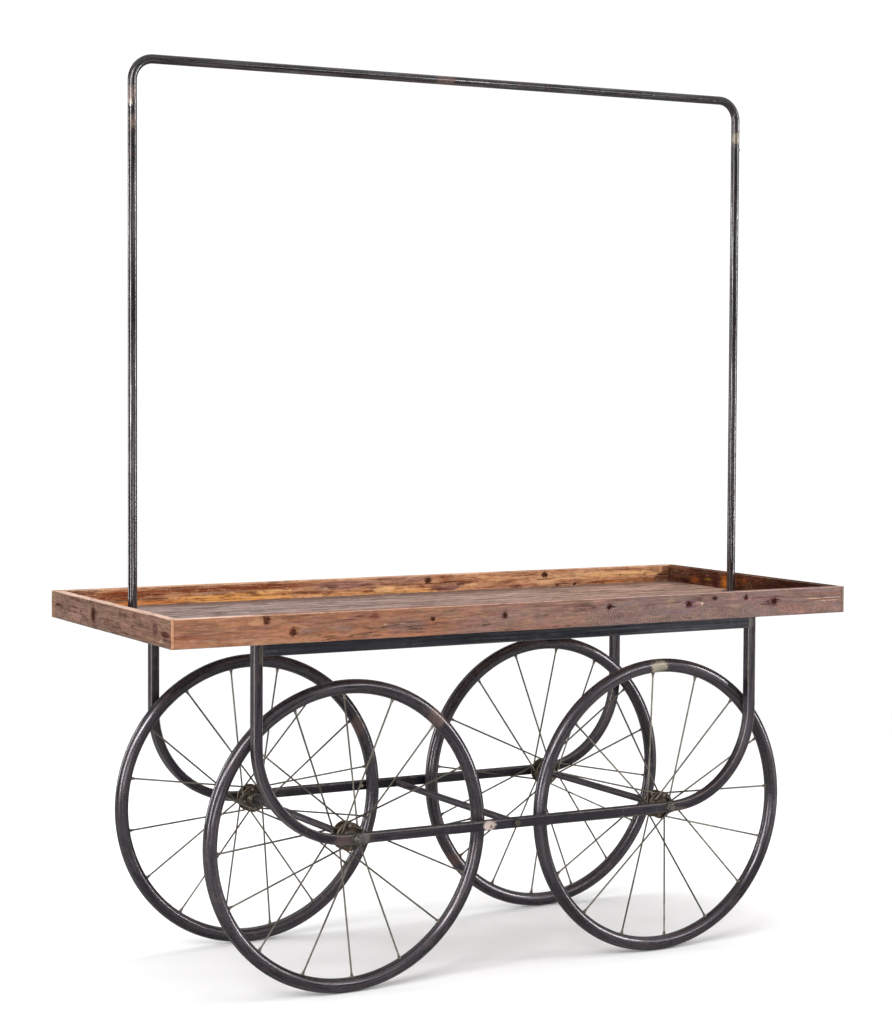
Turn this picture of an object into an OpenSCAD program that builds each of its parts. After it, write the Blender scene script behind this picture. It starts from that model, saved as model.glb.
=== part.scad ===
// Long shallow wooden tray on a steel side-frame chassis, carried by four
// large wire-spoked wheels, with a tall hanging rack standing in the tray.
// Millimetres. +X along the cart to the right, +Y to the back, +Z up.
// Origin on the floor under the middle of the cart.

/* [Overall] */
// Length of the tray along the cart
cart_length = 1700; // [1560:10:2000]
// Width of the tray across the cart
cart_width = 700; // [640:10:820]
// Height of the top of the hanging bar above the floor
cart_height = 2000; // [1700:10:2300]
// Gap between the top of the wheels and the underside of the tray
wheel_headroom = 96; // [60:2:160]

/* [Tray] */
// Height of the boards round the tray
board_height = 61; // [40:1:100]
// Thickness of the boards round the tray
board_thickness = 22; // [16:1:30]
// Thickness of each end board where it laps over the end of the front board
lap_thickness = 7; // [4:1:14]
// Thickness of the deck planks
deck_thickness = 20; // [12:1:28]
// Number of deck planks across the tray
plank_count = 6; // [4:1:8]
// Open joint left between neighbouring deck planks
plank_gap = 2; // [1:0.5:5]

/* [Frame] */
// Side of the square tube of the legs and lower rails
frame_tube = 21; // [16:1:26]
// Height of the upper rails and cross tubes under the tray
upper_rail_height = 32; // [20:1:40]
// Distance of each outer cross tube from the middle of the leg beside it
cross_tube_inset = 130; // [30:5:300]
// Straight lower rail left between each axle and the bend beside it
axle_to_bend = 14.5; // [12:0.5:40]
// Bend radius of the side frames, to the middle of the tube
bend_radius = 215; // [150:5:225]
// How far the face of a side frame is set back from the side of the tray
frame_set_back = 60; // [40:5:80]
// Distance of the front lower rail splice from the middle, to the left
front_splice = 70; // [40:5:150]
// Distance of the back lower rail splice from the middle, to the right
back_splice = 60; // [40:5:150]
// Diameter of the lower bar that ties the two lower rails together
tie_bar = 16; // [12:1:18]
// Distance of the lower tie bar from the middle, to the left
tie_bar_inset = 5; // [0:1:30]
// Diameter of the two bolts that hold the lower tie bar
tie_bolt_diameter = 8; // [5:1:9]

/* [Wheels] */
// Outer diameter of the wheels
wheel_diameter = 672; // [620:2:690]
// Gap between the left and right wheels of one side
wheel_gap = 130; // [90:2:180]
// Diameter of the round tube that makes the rim
rim_tube = 31; // [22:1:36]
// Gap between a rim and the side frame beside it
rim_clearance = 5.5; // [5:0.5:10]
// Number of spokes in each wheel
spoke_count = 16; // [12:4:24]
// Diameter of a spoke
spoke_diameter = 4; // [3:0.5:5]
// Outer diameter of the two hub flanges
hub_flange_diameter = 62; // [56:1:80]
// Turn of the front left wheel
turn_front_left = 24.5; // [0:0.5:90]
// Turn of the front right wheel
turn_front_right = 3.5; // [0:0.5:90]
// Turn of the back left wheel
turn_back_left = 9.5; // [0:0.5:90]
// Turn of the back right wheel
turn_back_right = 38.5; // [0:0.5:90]

/* [Axles] */
// Diameter of the axle inside the hubs
axle_diameter = 16; // [12:1:18]
// Diameter of the axle ends that pass through the lower rails
axle_end_diameter = 12; // [8:1:14]
// Width of the axle nuts across their flats
nut_width = 19; // [16:1:20]
// Thickness of the axle nuts
nut_thickness = 10; // [6:1:12]
// Gap all round an axle inside its hub
axle_clearance = 0.05; // [0.02:0.01:0.1]

/* [Rack] */
// Diameter of the rack tube
rack_tube = 20; // [16:1:25]
// Diameter of the round plate under each post
socket_plate_diameter = 44; // [36:2:80]
// Gap between an end board and the plate under a post
plate_gap = 16; // [2:1:40]
// How far the rack stands behind the middle of the tray
rack_offset = 8; // [-20:1:20]
// Bend radius at the top corners, to the middle of the tube
rack_bend = 48; // [30:2:80]
// Straight leg of the hoop, from its corner bend down to the joint
hoop_leg = 57; // [38:1:200]
// Distance of the joint in the hanging bar from the middle, to the left
bar_joint = 32; // [0:2:100]
// Length of the peg that enters each foot and joint of the rack
peg_length = 30; // [20:2:50]

/* [Hidden] */
// How far a cut runs past the faces it opens
cut_past = 1;

half_length = cart_length / 2;
half_width = cart_width / 2;
tray_underside = wheel_diameter + wheel_headroom;
board_top = tray_underside + board_height;
deck_top = tray_underside + deck_thickness;

frame_face_y = half_width - frame_set_back;
frame_mid_y = frame_face_y - frame_tube / 2;
frame_inner_y = frame_face_y - frame_tube;

wheel_radius = wheel_diameter / 2;
axle_x = (wheel_diameter + wheel_gap) / 2;
axle_z = wheel_radius;
leg_x = axle_x + axle_to_bend + bend_radius;
leg_inner_x = leg_x - frame_tube / 2;
cross_tube_x = leg_x - cross_tube_inset;
rim_radius = rim_tube / 2;
rim_circle = wheel_radius - rim_radius;
wheel_y = frame_inner_y - rim_clearance - rim_radius;

// Hub layout along the axle, measured from the inner face of a side frame
spacer_length = 4.7;
hub_side_gap = 0.3;
hub_length = 40;
hub_outer_y = frame_inner_y - spacer_length - hub_side_gap;
hub_inner_y = hub_outer_y - hub_length;
flange_thickness = 4;
flange_inset = 5.5;
outer_flange_y = hub_outer_y - flange_inset - flange_thickness / 2;
inner_flange_y = hub_inner_y + flange_inset + flange_thickness / 2;
boss_diameter = 30;

// Spokes: the circle of their holes in the flanges, the hooked end, how far
// they stand off a flange, and the nipple that screws each to the rim
hole_inset = 7.5;
spoke_circle = hub_flange_diameter / 2 - hole_inset;
spoke_lean = 90;
hook_swell = 0.4;
hook_radius = spoke_diameter / 2 + hook_swell;
hook_reach = 1;
hook_past = 0.2;
spoke_stand_off = 1.3;
barrel_margin = 2.1;
hub_barrel_radius = spoke_circle - hook_radius - barrel_margin;
nipple_wall = 1;
nipple_radius = spoke_diameter / 2 + nipple_wall;
nipple_length = 16;
nipple_depth = 7;
spoke_in_nipple = nipple_length * 3 / 4;

axle_radius = axle_diameter / 2;
axle_end_radius = axle_end_diameter / 2;
axle_past_nut = 3;
spacer_diameter = 26;
collar_length = 9;
collar_diameter = 30;

rack_radius = rack_tube / 2;
post_x = half_length - board_thickness - plate_gap - socket_plate_diameter / 2;
bar_z = cart_height - rack_radius;
bend_x = post_x - rack_bend;
bend_z = bar_z - rack_bend;
joint_z = bend_z - hoop_leg;
rack_wall = 2;
peg_radius = rack_radius - rack_wall;
peg_clearance = 0.1;
socket_plate_thickness = 2.5;

bolt_head_thickness = 5;
bolt_head_width = tie_bolt_diameter + 5;
bolt_bite = 20;

steel = [0.23, 0.22, 0.23];
steel_worn = [0.38, 0.36, 0.35];
rust = [0.36, 0.26, 0.19];
wood = [0.58, 0.40, 0.27];
wood_grey = [0.55, 0.51, 0.47];

$fn = 64;

// A box given by its two opposite corners
module box_between(low, high) {
    translate(low)
        cube([high[0] - low[0], high[1] - low[1], high[2] - low[2]]);
}

// A cylinder along Y from one y to another
module rod_y(radius, y_from, y_to) {
    translate([0, y_to, 0])
        rotate([90, 0, 0])
            cylinder(r = radius, h = y_to - y_from);
}

// Tray: the long boards. The back one runs full length, the front one
// stops short by the lap of each end board.
module tray_side(y_low, end_gap) {
    box_between(
        [-half_length + end_gap, y_low, tray_underside],
        [half_length - end_gap, y_low + board_thickness, board_top]
    );
}

module tray_side_front() {
    color(wood)
        tray_side(-half_width, lap_thickness);
}

module tray_side_back() {
    color(wood)
        tray_side(half_width - board_thickness, 0);
}

// Tray: an end board, lapped over the front board and butted to the back one
module tray_end() {
    difference() {
        box_between(
            [-half_length, -half_width, tray_underside],
            [-half_length + board_thickness, half_width - board_thickness, board_top]
        );
        box_between(
            [-half_length + lap_thickness, -half_width - cut_past, tray_underside - cut_past],
            [
                -half_length + board_thickness + cut_past,
                -half_width + board_thickness,
                board_top + cut_past
            ]
        );
    }
}

module tray_end_left() {
    color(wood)
        tray_end();
}

module tray_end_right() {
    color(wood)
        mirror([1, 0, 0])
            tray_end();
}

// Deck: one plank of the row that fills the inside of the tray
plank_room = cart_width - 2 * board_thickness;
plank_width = (plank_room - (plank_count - 1) * plank_gap) / plank_count;

module deck_plank(index) {
    y_low = -plank_room / 2 + (index - 1) * (plank_width + plank_gap);
    color(wood_grey)
        if (index <= plank_count)
            box_between(
                [-half_length + board_thickness, y_low, tray_underside],
                [half_length - board_thickness, y_low + plank_width, deck_top]
            );
}

// Frame: upper rail between the two legs of one side frame
module upper_rail(side) {
    color(steel)
        translate([0, side * frame_mid_y, 0])
            box_between(
                [-leg_inner_x, -frame_tube / 2, tray_underside - upper_rail_height],
                [leg_inner_x, frame_tube / 2, tray_underside]
            );
}

// Frame: cross tube under the deck, from one side frame to the other
module cross_tube(x_mid) {
    color(steel)
        box_between(
            [x_mid - frame_tube / 2, -frame_inner_y, tray_underside - upper_rail_height],
            [x_mid + frame_tube / 2, frame_inner_y, tray_underside]
        );
}

// Frame: half of a side frame's bow, in its own plane, leg on the right:
// leg, quarter bend and lower rail as far as the splice. The longer half of
// a bow is drilled for the bolt of the tie bar.
module bow_half(splice_x, bolt_x) {
    difference() {
        union() {
            box_between(
                [leg_inner_x, -frame_tube / 2, axle_z + bend_radius],
                [leg_x + frame_tube / 2, frame_tube / 2, tray_underside]
            );
            translate([leg_x - bend_radius, 0, axle_z + bend_radius])
                rotate([90, 0, 0])
                    rotate_extrude(angle = 90, start = 270)
                        translate([bend_radius, 0])
                            square(frame_tube, center = true);
            box_between(
                [splice_x, -frame_tube / 2, axle_z - frame_tube / 2],
                [leg_x - bend_radius, frame_tube / 2, axle_z + frame_tube / 2]
            );
        }
        translate([axle_x, 0, axle_z])
            rod_y(axle_end_radius, -frame_tube, frame_tube);
        if (splice_x < 0)
            translate([bolt_x, 0, axle_z])
                rod_y(tie_bolt_diameter / 2, -frame_tube, frame_tube);
    }
}

module side_bow_front_left() {
    color(steel)
        translate([0, -frame_mid_y, 0])
            mirror([1, 0, 0])
                bow_half(front_splice, tie_bar_inset);
}

module side_bow_front_right() {
    color(steel)
        translate([0, -frame_mid_y, 0])
            bow_half(-front_splice, -tie_bar_inset);
}

module side_bow_back_left() {
    color(steel)
        translate([0, frame_mid_y, 0])
            mirror([1, 0, 0])
                bow_half(-back_splice, tie_bar_inset);
}

module side_bow_back_right() {
    color(steel)
        translate([0, frame_mid_y, 0])
            bow_half(back_splice, -tie_bar_inset);
}

// Frame: lower bar between the side frames, bolted through the lower rails
module lower_tie_bar() {
    color(steel)
        translate([-tie_bar_inset, 0, axle_z])
            difference() {
                rod_y(tie_bar / 2, -frame_inner_y, frame_inner_y);
                for (side = [-1, 1])
                    rod_y(
                        tie_bolt_diameter / 2,
                        side * frame_inner_y - bolt_bite,
                        side * frame_inner_y + bolt_bite
                    );
            }
}

module tie_bar_bolt() {
    translate([-tie_bar_inset, 0, axle_z]) {
        rod_y(tie_bolt_diameter / 2, -frame_face_y, -frame_inner_y + bolt_bite);
        translate([0, -frame_face_y, 0])
            rotate([90, 0, 0])
                cylinder(d = bolt_head_width / cos(30), h = bolt_head_thickness, $fn = 6);
    }
}

module tie_bar_bolts() {
    color(steel_worn) {
        tie_bar_bolt();
        mirror([0, 1, 0])
            tie_bar_bolt();
    }
}

// Axles: a round bar with thinner ends that pass through the lower rails
axle_end_y = frame_face_y + nut_thickness + axle_past_nut;

module axle(x_mid) {
    color(steel)
        translate([x_mid, 0, axle_z]) {
            rod_y(axle_radius, -frame_inner_y, frame_inner_y);
            rod_y(axle_end_radius, -axle_end_y, axle_end_y);
        }
}

// One copy of its child at each wheel's side of each axle, outside to -Y
module at_axle_ends() {
    for (x_mid = [-axle_x, axle_x])
        translate([x_mid, 0, axle_z]) {
            children();
            mirror([0, 1, 0])
                children();
        }
}

module ring_y(outer_radius, inner_radius, y_from, y_to) {
    difference() {
        rod_y(outer_radius, y_from, y_to);
        rod_y(inner_radius, y_from - cut_past, y_to + cut_past);
    }
}

module axle_spacers() {
    color(steel_worn)
        at_axle_ends()
            ring_y(spacer_diameter / 2, axle_radius, -frame_inner_y, -frame_inner_y + spacer_length);
}

module axle_collars() {
    collar_y = -hub_inner_y + hub_side_gap;
    color(steel_worn)
        at_axle_ends()
            ring_y(collar_diameter / 2, axle_radius, collar_y, collar_y + collar_length);
}

module axle_nuts() {
    color(steel_worn)
        at_axle_ends()
            difference() {
                translate([0, -frame_face_y, 0])
                    rotate([90, 0, 0])
                        cylinder(d = nut_width / cos(30), h = nut_thickness, $fn = 6);
                rod_y(axle_end_radius, -axle_end_y - cut_past, 0);
            }
}

// Wheels: a spoke from one flange to the rim. It hooks through the flange,
// lies along one of its faces and leaves at a tangent to the hub.
function polar(radius, angle, y) = [radius * cos(angle), y, radius * sin(angle)];

function unit(v) = v / norm(v);

// Where spoke number index starts: its flange, the face it lies on, its lean.
// The two spokes of a pair cross, and the pairs take the flanges in turn.
function spoke_flange_y(index) = floor(index / 2) % 2 == 0 ? inner_flange_y : outer_flange_y;
function spoke_side(index) = index % 2 == 0 ? 1 : -1;
function spoke_face_y(index) = spoke_flange_y(index)
    + spoke_side(index) * (flange_thickness / 2 + spoke_stand_off + spoke_diameter / 2);
function spoke_angle(index) = index * 360 / spoke_count;
function spoke_hook_angle(index) = spoke_angle(index) + spoke_side(index) * spoke_lean;
function spoke_start(index) = polar(spoke_circle, spoke_hook_angle(index), spoke_face_y(index));
function spoke_end(index) = polar(rim_circle - rim_radius, spoke_angle(index), wheel_y);

// A cylinder that starts at a point and runs along a direction
module rod_along(start, direction, radius, length) {
    turn = atan2(direction[1], direction[0]);
    tilt = acos(direction[2] / norm(direction));
    translate(start)
        rotate([0, tilt, turn])
            cylinder(r = radius, h = length);
}

module spoke_nipple(index) {
    direction = unit(spoke_end(index) - spoke_start(index));
    rod_along(
        spoke_end(index) - direction * (nipple_length - nipple_depth),
        direction, nipple_radius, nipple_length
    );
}

module spoke_hook(index) {
    side = spoke_side(index);
    place = polar(spoke_circle, spoke_hook_angle(index), spoke_flange_y(index));
    near = -side * (flange_thickness / 2 + hook_reach);
    far = side * (flange_thickness / 2 + spoke_stand_off + spoke_diameter + hook_past);
    translate(place)
        rod_y(hook_radius, min(near, far), max(near, far));
}

module spoke(index) {
    start = spoke_start(index);
    reach = spoke_end(index) - start;
    rod_along(
        start, reach, spoke_diameter / 2,
        norm(reach) - nipple_length + nipple_depth + spoke_in_nipple
    );
    spoke_nipple(index);
    spoke_hook(index);
}

module wheel_spokes() {
    for (index = [0 : spoke_count - 1])
        spoke(index);
}

module wheel_rim() {
    difference() {
        translate([0, wheel_y, 0])
            rotate([90, 0, 0])
                rotate_extrude()
                    translate([rim_circle, 0])
                        circle(r = rim_radius);
        for (index = [0 : spoke_count - 1])
            spoke_nipple(index);
    }
}

module wheel_hub() {
    difference() {
        union() {
            rod_y(boss_diameter / 2, hub_inner_y, hub_outer_y);
            rod_y(hub_barrel_radius, inner_flange_y, outer_flange_y);
            for (y_mid = [inner_flange_y, outer_flange_y])
                rod_y(
                    hub_flange_diameter / 2,
                    y_mid - flange_thickness / 2,
                    y_mid + flange_thickness / 2
                );
        }
        rod_y(axle_radius + axle_clearance, hub_inner_y - cut_past, hub_outer_y + cut_past);
        for (index = [0 : spoke_count - 1])
            spoke_hook(index);
    }
}

// A wheel's own piece, moved to its axle end and turned about it.
// Pieces are made with their outer face to +Y.
module at_wheel(x_side, y_side, turn) {
    translate([x_side * axle_x, 0, axle_z])
        rotate([0, -turn, 0])
            if (y_side < 0)
                mirror([0, 1, 0])
                    children();
            else
                children();
}

module wheel_front_left_rim() {
    color(steel)
        at_wheel(-1, -1, turn_front_left)
            wheel_rim();
}

module wheel_front_left_spokes() {
    color(steel_worn)
        at_wheel(-1, -1, turn_front_left)
            wheel_spokes();
}

module wheel_front_left_hub() {
    color(rust)
        at_wheel(-1, -1, turn_front_left)
            wheel_hub();
}

module wheel_front_right_rim() {
    color(steel)
        at_wheel(1, -1, turn_front_right)
            wheel_rim();
}

module wheel_front_right_spokes() {
    color(steel_worn)
        at_wheel(1, -1, turn_front_right)
            wheel_spokes();
}

module wheel_front_right_hub() {
    color(rust)
        at_wheel(1, -1, turn_front_right)
            wheel_hub();
}

module wheel_back_left_rim() {
    color(steel)
        at_wheel(-1, 1, turn_back_left)
            wheel_rim();
}

module wheel_back_left_spokes() {
    color(steel_worn)
        at_wheel(-1, 1, turn_back_left)
            wheel_spokes();
}

module wheel_back_left_hub() {
    color(rust)
        at_wheel(-1, 1, turn_back_left)
            wheel_hub();
}

module wheel_back_right_rim() {
    color(steel)
        at_wheel(1, 1, turn_back_right)
            wheel_rim();
}

module wheel_back_right_spokes() {
    color(steel_worn)
        at_wheel(1, 1, turn_back_right)
            wheel_spokes();
}

module wheel_back_right_hub() {
    color(rust)
        at_wheel(1, 1, turn_back_right)
            wheel_hub();
}

// Rack: a round plate on the deck, with a peg that holds the foot of a post
module rack_socket(side) {
    color(steel)
        translate([side * post_x, rack_offset, deck_top]) {
            cylinder(d = socket_plate_diameter, h = socket_plate_thickness);
            cylinder(r = peg_radius, h = socket_plate_thickness + peg_length);
        }
}

// The bore that takes a peg, from the face it opens in upwards
module peg_bore() {
    translate([0, 0, -cut_past])
        cylinder(r = peg_radius + peg_clearance, h = peg_length + cut_past + peg_clearance);
}

// Rack: a straight post, bored at its foot, with a thinner peg at its top
module rack_post(side) {
    foot_z = deck_top + socket_plate_thickness;
    color(steel)
        translate([side * post_x, rack_offset, foot_z]) {
            difference() {
                cylinder(r = rack_radius, h = joint_z - foot_z);
                peg_bore();
            }
            translate([0, 0, joint_z - foot_z - cut_past])
                cylinder(r = peg_radius, h = peg_length + cut_past);
        }
}

// Rack: one end of the hoop, on the right: the short leg, the corner bend and
// the bar as far as its joint
module hoop_end(bar_from) {
    translate([0, rack_offset, 0])
        difference() {
            union() {
                translate([post_x, 0, joint_z])
                    cylinder(r = rack_radius, h = bend_z - joint_z);
                translate([bend_x, 0, bend_z])
                    rotate([90, 0, 0])
                        rotate_extrude(angle = 90)
                            translate([rack_bend, 0])
                                circle(r = rack_radius);
                translate([bar_from, 0, bar_z])
                    rotate([0, 90, 0])
                        cylinder(r = rack_radius, h = bend_x - bar_from);
            }
            translate([post_x, 0, joint_z])
                peg_bore();
        }
}

module rack_hoop_left() {
    color(steel)
        mirror([1, 0, 0])
            hoop_end(bar_joint);
}

module rack_hoop_right() {
    color(steel)
        hoop_end(-bar_joint);
}

tray_side_front();
tray_side_back();
tray_end_left();
tray_end_right();
deck_plank(1);  // deck_plank_1
deck_plank(2);  // deck_plank_2
deck_plank(3);  // deck_plank_3
deck_plank(4);  // deck_plank_4
deck_plank(5);  // deck_plank_5
deck_plank(6);  // deck_plank_6
upper_rail(-1);  // upper_rail_front
upper_rail(1);  // upper_rail_back
cross_tube(-cross_tube_x);  // cross_tube_left
cross_tube(0);  // cross_tube_middle
cross_tube(cross_tube_x);  // cross_tube_right
side_bow_front_left();
side_bow_front_right();
side_bow_back_left();
side_bow_back_right();
lower_tie_bar();
tie_bar_bolts();
axle(-axle_x);  // axle_left
axle(axle_x);  // axle_right
axle_spacers();
axle_collars();
axle_nuts();
rack_socket(-1);  // rack_socket_left
rack_socket(1);  // rack_socket_right
rack_post(-1);  // rack_post_left
rack_post(1);  // rack_post_right
rack_hoop_left();
rack_hoop_right();
wheel_front_left_rim();
wheel_front_left_spokes();
wheel_front_left_hub();
wheel_front_right_rim();
wheel_front_right_spokes();
wheel_front_right_hub();
wheel_back_left_rim();
wheel_back_left_spokes();
wheel_back_left_hub();
wheel_back_right_rim();
wheel_back_right_spokes();
wheel_back_right_hub();
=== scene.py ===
"""Visual model of a long wooden cart on four wire wheels with a tall rack.

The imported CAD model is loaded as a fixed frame, in metres: +X along the cart
to the right, +Y to the back, +Z up, the origin on the floor under its middle.
Each sub-assembly is a class that builds its pieces around that frame.
"""

from __future__ import annotations

import logging
import math
import random
from dataclasses import dataclass, field
from enum import Enum
from typing import Sequence

import bmesh
import bpy
from mathutils import Matrix, Vector, noise

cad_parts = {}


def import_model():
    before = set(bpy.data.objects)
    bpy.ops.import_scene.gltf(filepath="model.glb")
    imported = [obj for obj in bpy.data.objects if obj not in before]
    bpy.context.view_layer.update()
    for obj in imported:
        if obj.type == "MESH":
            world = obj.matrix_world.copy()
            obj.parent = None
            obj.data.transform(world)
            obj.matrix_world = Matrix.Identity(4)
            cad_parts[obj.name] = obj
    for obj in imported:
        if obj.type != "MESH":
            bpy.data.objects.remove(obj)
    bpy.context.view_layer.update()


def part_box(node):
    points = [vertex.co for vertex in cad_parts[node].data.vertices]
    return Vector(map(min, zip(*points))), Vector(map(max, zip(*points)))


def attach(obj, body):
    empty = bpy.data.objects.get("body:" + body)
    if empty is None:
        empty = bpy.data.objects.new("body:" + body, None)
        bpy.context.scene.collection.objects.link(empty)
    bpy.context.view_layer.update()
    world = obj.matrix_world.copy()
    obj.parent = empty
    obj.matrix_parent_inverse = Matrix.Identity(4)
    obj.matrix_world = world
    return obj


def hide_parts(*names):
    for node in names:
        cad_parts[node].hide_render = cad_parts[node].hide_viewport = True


LOG = logging.getLogger("cart")
MM = 0.001
CRISP_ANGLE = 0.62

X_AXIS = Vector((1, 0, 0))
Y_AXIS = Vector((0, 1, 0))
Z_AXIS = Vector((0, 0, 1))

Colour = tuple[float, float, float, float]
Triple = tuple[float, float, float]


class Direction(Enum):
    """A direction from the middle of the cart, as its sign along an axis."""

    @property
    def word(self) -> str:
        """The direction as it stands in the names of pieces and nodes."""
        return self.name.lower()


class Wheelside(Direction):
    """Which side of the cart a frame or a wheel is on, as its sign along Y."""

    FRONT = -1
    BACK = 1


class Hand(Direction):
    """Which half of the cart a piece is in, as its sign along X."""

    LEFT = -1
    RIGHT = 1


def srgb(red: float, green: float, blue: float) -> Colour:
    """Turns display values into linear light.

    Args:
        red: Red, 0 to 255.
        green: Green, 0 to 255.
        blue: Blue, 0 to 255.

    Returns:
        The colour, ready for a shader socket.
    """
    parts = []
    for level in (red, green, blue):
        share = level / 255
        low = share <= 0.04045
        parts.append(share / 12.92 if low else ((share + 0.055) / 1.055) ** 2.4)
    return (parts[0], parts[1], parts[2], 1.0)


# ---------------------------------------------------------------- shader maths


class Signal:
    """An output of a material's nodes that takes part in Python arithmetic."""

    def __init__(self, shade: Shade, socket: bpy.types.NodeSocket) -> None:
        """Wraps a socket.

        Args:
            shade: The material the socket belongs to.
            socket: The output to wrap.
        """
        self.shade = shade
        self.socket = socket

    def __add__(self, other: Signal | float) -> Signal:
        """The sum of two values."""
        return self.shade.math("ADD", self, other)

    __radd__ = __add__

    def __sub__(self, other: Signal | float) -> Signal:
        """This value less another."""
        return self.shade.math("SUBTRACT", self, other)

    def __rsub__(self, other: Signal | float) -> Signal:
        """Another value less this one."""
        return self.shade.math("SUBTRACT", other, self)

    def __mul__(self, other: Signal | float) -> Signal:
        """The product of two values."""
        return self.shade.math("MULTIPLY", self, other)

    __rmul__ = __mul__

    def __truediv__(self, other: Signal | float) -> Signal:
        """This value divided by another."""
        return self.shade.math("DIVIDE", self, other)

    def __rtruediv__(self, other: Signal | float) -> Signal:
        """Another value divided by this one."""
        return self.shade.math("DIVIDE", other, self)

    def __pow__(self, other: Signal | float) -> Signal:
        """This value raised to a power."""
        return self.shade.math("POWER", self, other)

    def __abs__(self) -> Signal:
        """The size of this value without its sign."""
        return self.shade.math("ABSOLUTE", self)


class Shade:
    """A material in the making, with the node recipes the finishes share."""

    def __init__(self, owner: bpy.types.Material | bpy.types.World) -> None:
        """Starts with no nodes.

        Args:
            owner: The material, or the room, whose nodes these are.
        """
        owner.use_nodes = True
        self.owner = owner
        self.tree = owner.node_tree
        self.tree.nodes.clear()
        coordinates = self.node("TexCoord")
        self.place = Signal(self, coordinates.outputs["Object"])
        self.direction = Signal(self, coordinates.outputs["Generated"])

    @classmethod
    def named(cls, name: str) -> Shade:
        """Starts a new material of this name."""
        return cls(bpy.data.materials.new(name))

    def along_mesh(self) -> tuple[Signal, Signal]:
        """Reads the grain place and the wear that the meshes carry."""
        grain = self.node("Attribute", {"attribute_name": "grain"})
        wear = self.node("Attribute", {"attribute_name": "wear"})
        return Signal(self, grain.outputs["Vector"]), Signal(self, wear.outputs["Fac"])

    def node(
        self,
        kind: str,
        settings: dict[str, object] | None = None,
        inputs: dict[str | int, Signal | float | tuple] | None = None,
    ) -> bpy.types.Node:
        """Adds one node.

        Args:
            kind: The node's type, without its ShaderNode prefix.
            settings: Its own settings, which are set first. "stops" gives the
                places and colours of a colour ramp.
            inputs: The value or the link of each socket, by name or index.

        Returns:
            The new node.
        """
        made = self.tree.nodes.new("ShaderNode" + kind)
        for key, setting in (settings or {}).items():
            if key == "stops":
                self._set_stops(made, setting)
            else:
                setattr(made, key, setting)
        for key, value in (inputs or {}).items():
            if isinstance(value, Signal):
                self.tree.links.new(value.socket, made.inputs[key])
            else:
                made.inputs[key].default_value = value
        return made

    @staticmethod
    def _set_stops(made: bpy.types.Node, stops: Sequence[tuple[float, Colour]]) -> None:
        """Gives a ramp its stops.

        Args:
            made: The colour ramp node.
            stops: The place and the colour of each stop, in order.
        """
        ramp = made.color_ramp
        while len(ramp.elements) < len(stops):
            ramp.elements.new(1.0)
        for element, (place, colour) in zip(ramp.elements, stops):
            element.position = place
            element.color = colour

    def math(self, operation: str, *values: Signal | float) -> Signal:
        """Adds a Math node.

        Args:
            operation: The node's operation.
            values: Its inputs, in order.

        Returns:
            Its result.
        """
        made = self.node("Math", {"operation": operation}, dict(enumerate(values)))
        return Signal(self, made.outputs[0])

    def stretch(self, place: Signal, by: Triple, shift: Triple = (0, 0, 0)) -> Signal:
        """Scales a place by three factors and moves it.

        Args:
            place: The place to change.
            by: The factor of each axis.
            shift: What is added afterwards.

        Returns:
            The new place.
        """
        settings = {"operation": "MULTIPLY_ADD"}
        made = self.node("VectorMath", settings, {0: place, 1: by, 2: shift})
        return Signal(self, made.outputs[0])

    def parts(self, place: Signal) -> tuple[Signal, Signal, Signal]:
        """Splits a place into its three coordinates."""
        made = self.node("SeparateXYZ", {}, {0: place})
        return tuple(Signal(self, socket) for socket in made.outputs)

    def join(self, *values: Signal | float) -> Signal:
        """Makes a place from three coordinates."""
        made = self.node("CombineXYZ", {}, dict(enumerate(values)))
        return Signal(self, made.outputs[0])

    def distance(self, place: Signal, point: Triple) -> Signal:
        """How far a place is from a point."""
        made = self.node("VectorMath", {"operation": "DISTANCE"}, {0: place, 1: point})
        return Signal(self, made.outputs["Value"])

    def cloud(
        self,
        place: Signal,
        stretch: Triple,
        detail: float = 4.0,
        rough: float = 0.55,
        distortion: float = 0.0,
        shift: Triple = (0, 0, 0),
    ) -> Signal:
        """Fractal noise on a stretched place.

        Args:
            place: Where the noise is read.
            stretch: Features per metre along each axis.
            detail: The number of finer layers.
            rough: How strong the finer layers are.
            distortion: How far the noise bends itself.
            shift: A shift that gives another pattern.

        Returns:
            The noise, about 0.3 to 0.7.
        """
        spot = self.stretch(place, stretch, shift)
        sockets = {
            "Vector": spot,
            "Scale": 1.0,
            "Detail": detail,
            "Roughness": rough,
            "Distortion": distortion,
        }
        return Signal(self, self.node("TexNoise", {}, sockets).outputs[0])

    def rise(
        self,
        value: Signal,
        low: float,
        high: float,
        bottom: float = 0.0,
        top: float = 1.0,
    ) -> Signal:
        """A smooth step from bottom to top as value goes from low to high.

        Args:
            value: The value that is read.
            low: Where the step starts.
            high: Where the step ends.
            bottom: The result before the step.
            top: The result after it.

        Returns:
            The stepped value.
        """
        settings = {"interpolation_type": "SMOOTHSTEP"}
        sockets = {0: value, 1: low, 2: high, 3: bottom, 4: top}
        return Signal(self, self.node("MapRange", settings, sockets).outputs[0])

    def blend(
        self,
        amount: Signal | float,
        first: Signal | Colour,
        second: Signal | Colour,
        how: str = "MIX",
    ) -> Signal:
        """Mixes two colours.

        Args:
            amount: How much of the second colour there is.
            first: The colour at 0.
            second: The colour at 1.
            how: The node's blend type.

        Returns:
            The mixed colour.
        """
        settings = {"data_type": "RGBA", "blend_type": how, "clamp_factor": True}
        made = self.node("Mix", settings, {0: amount, 6: first, 7: second})
        return Signal(self, made.outputs[2])

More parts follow.
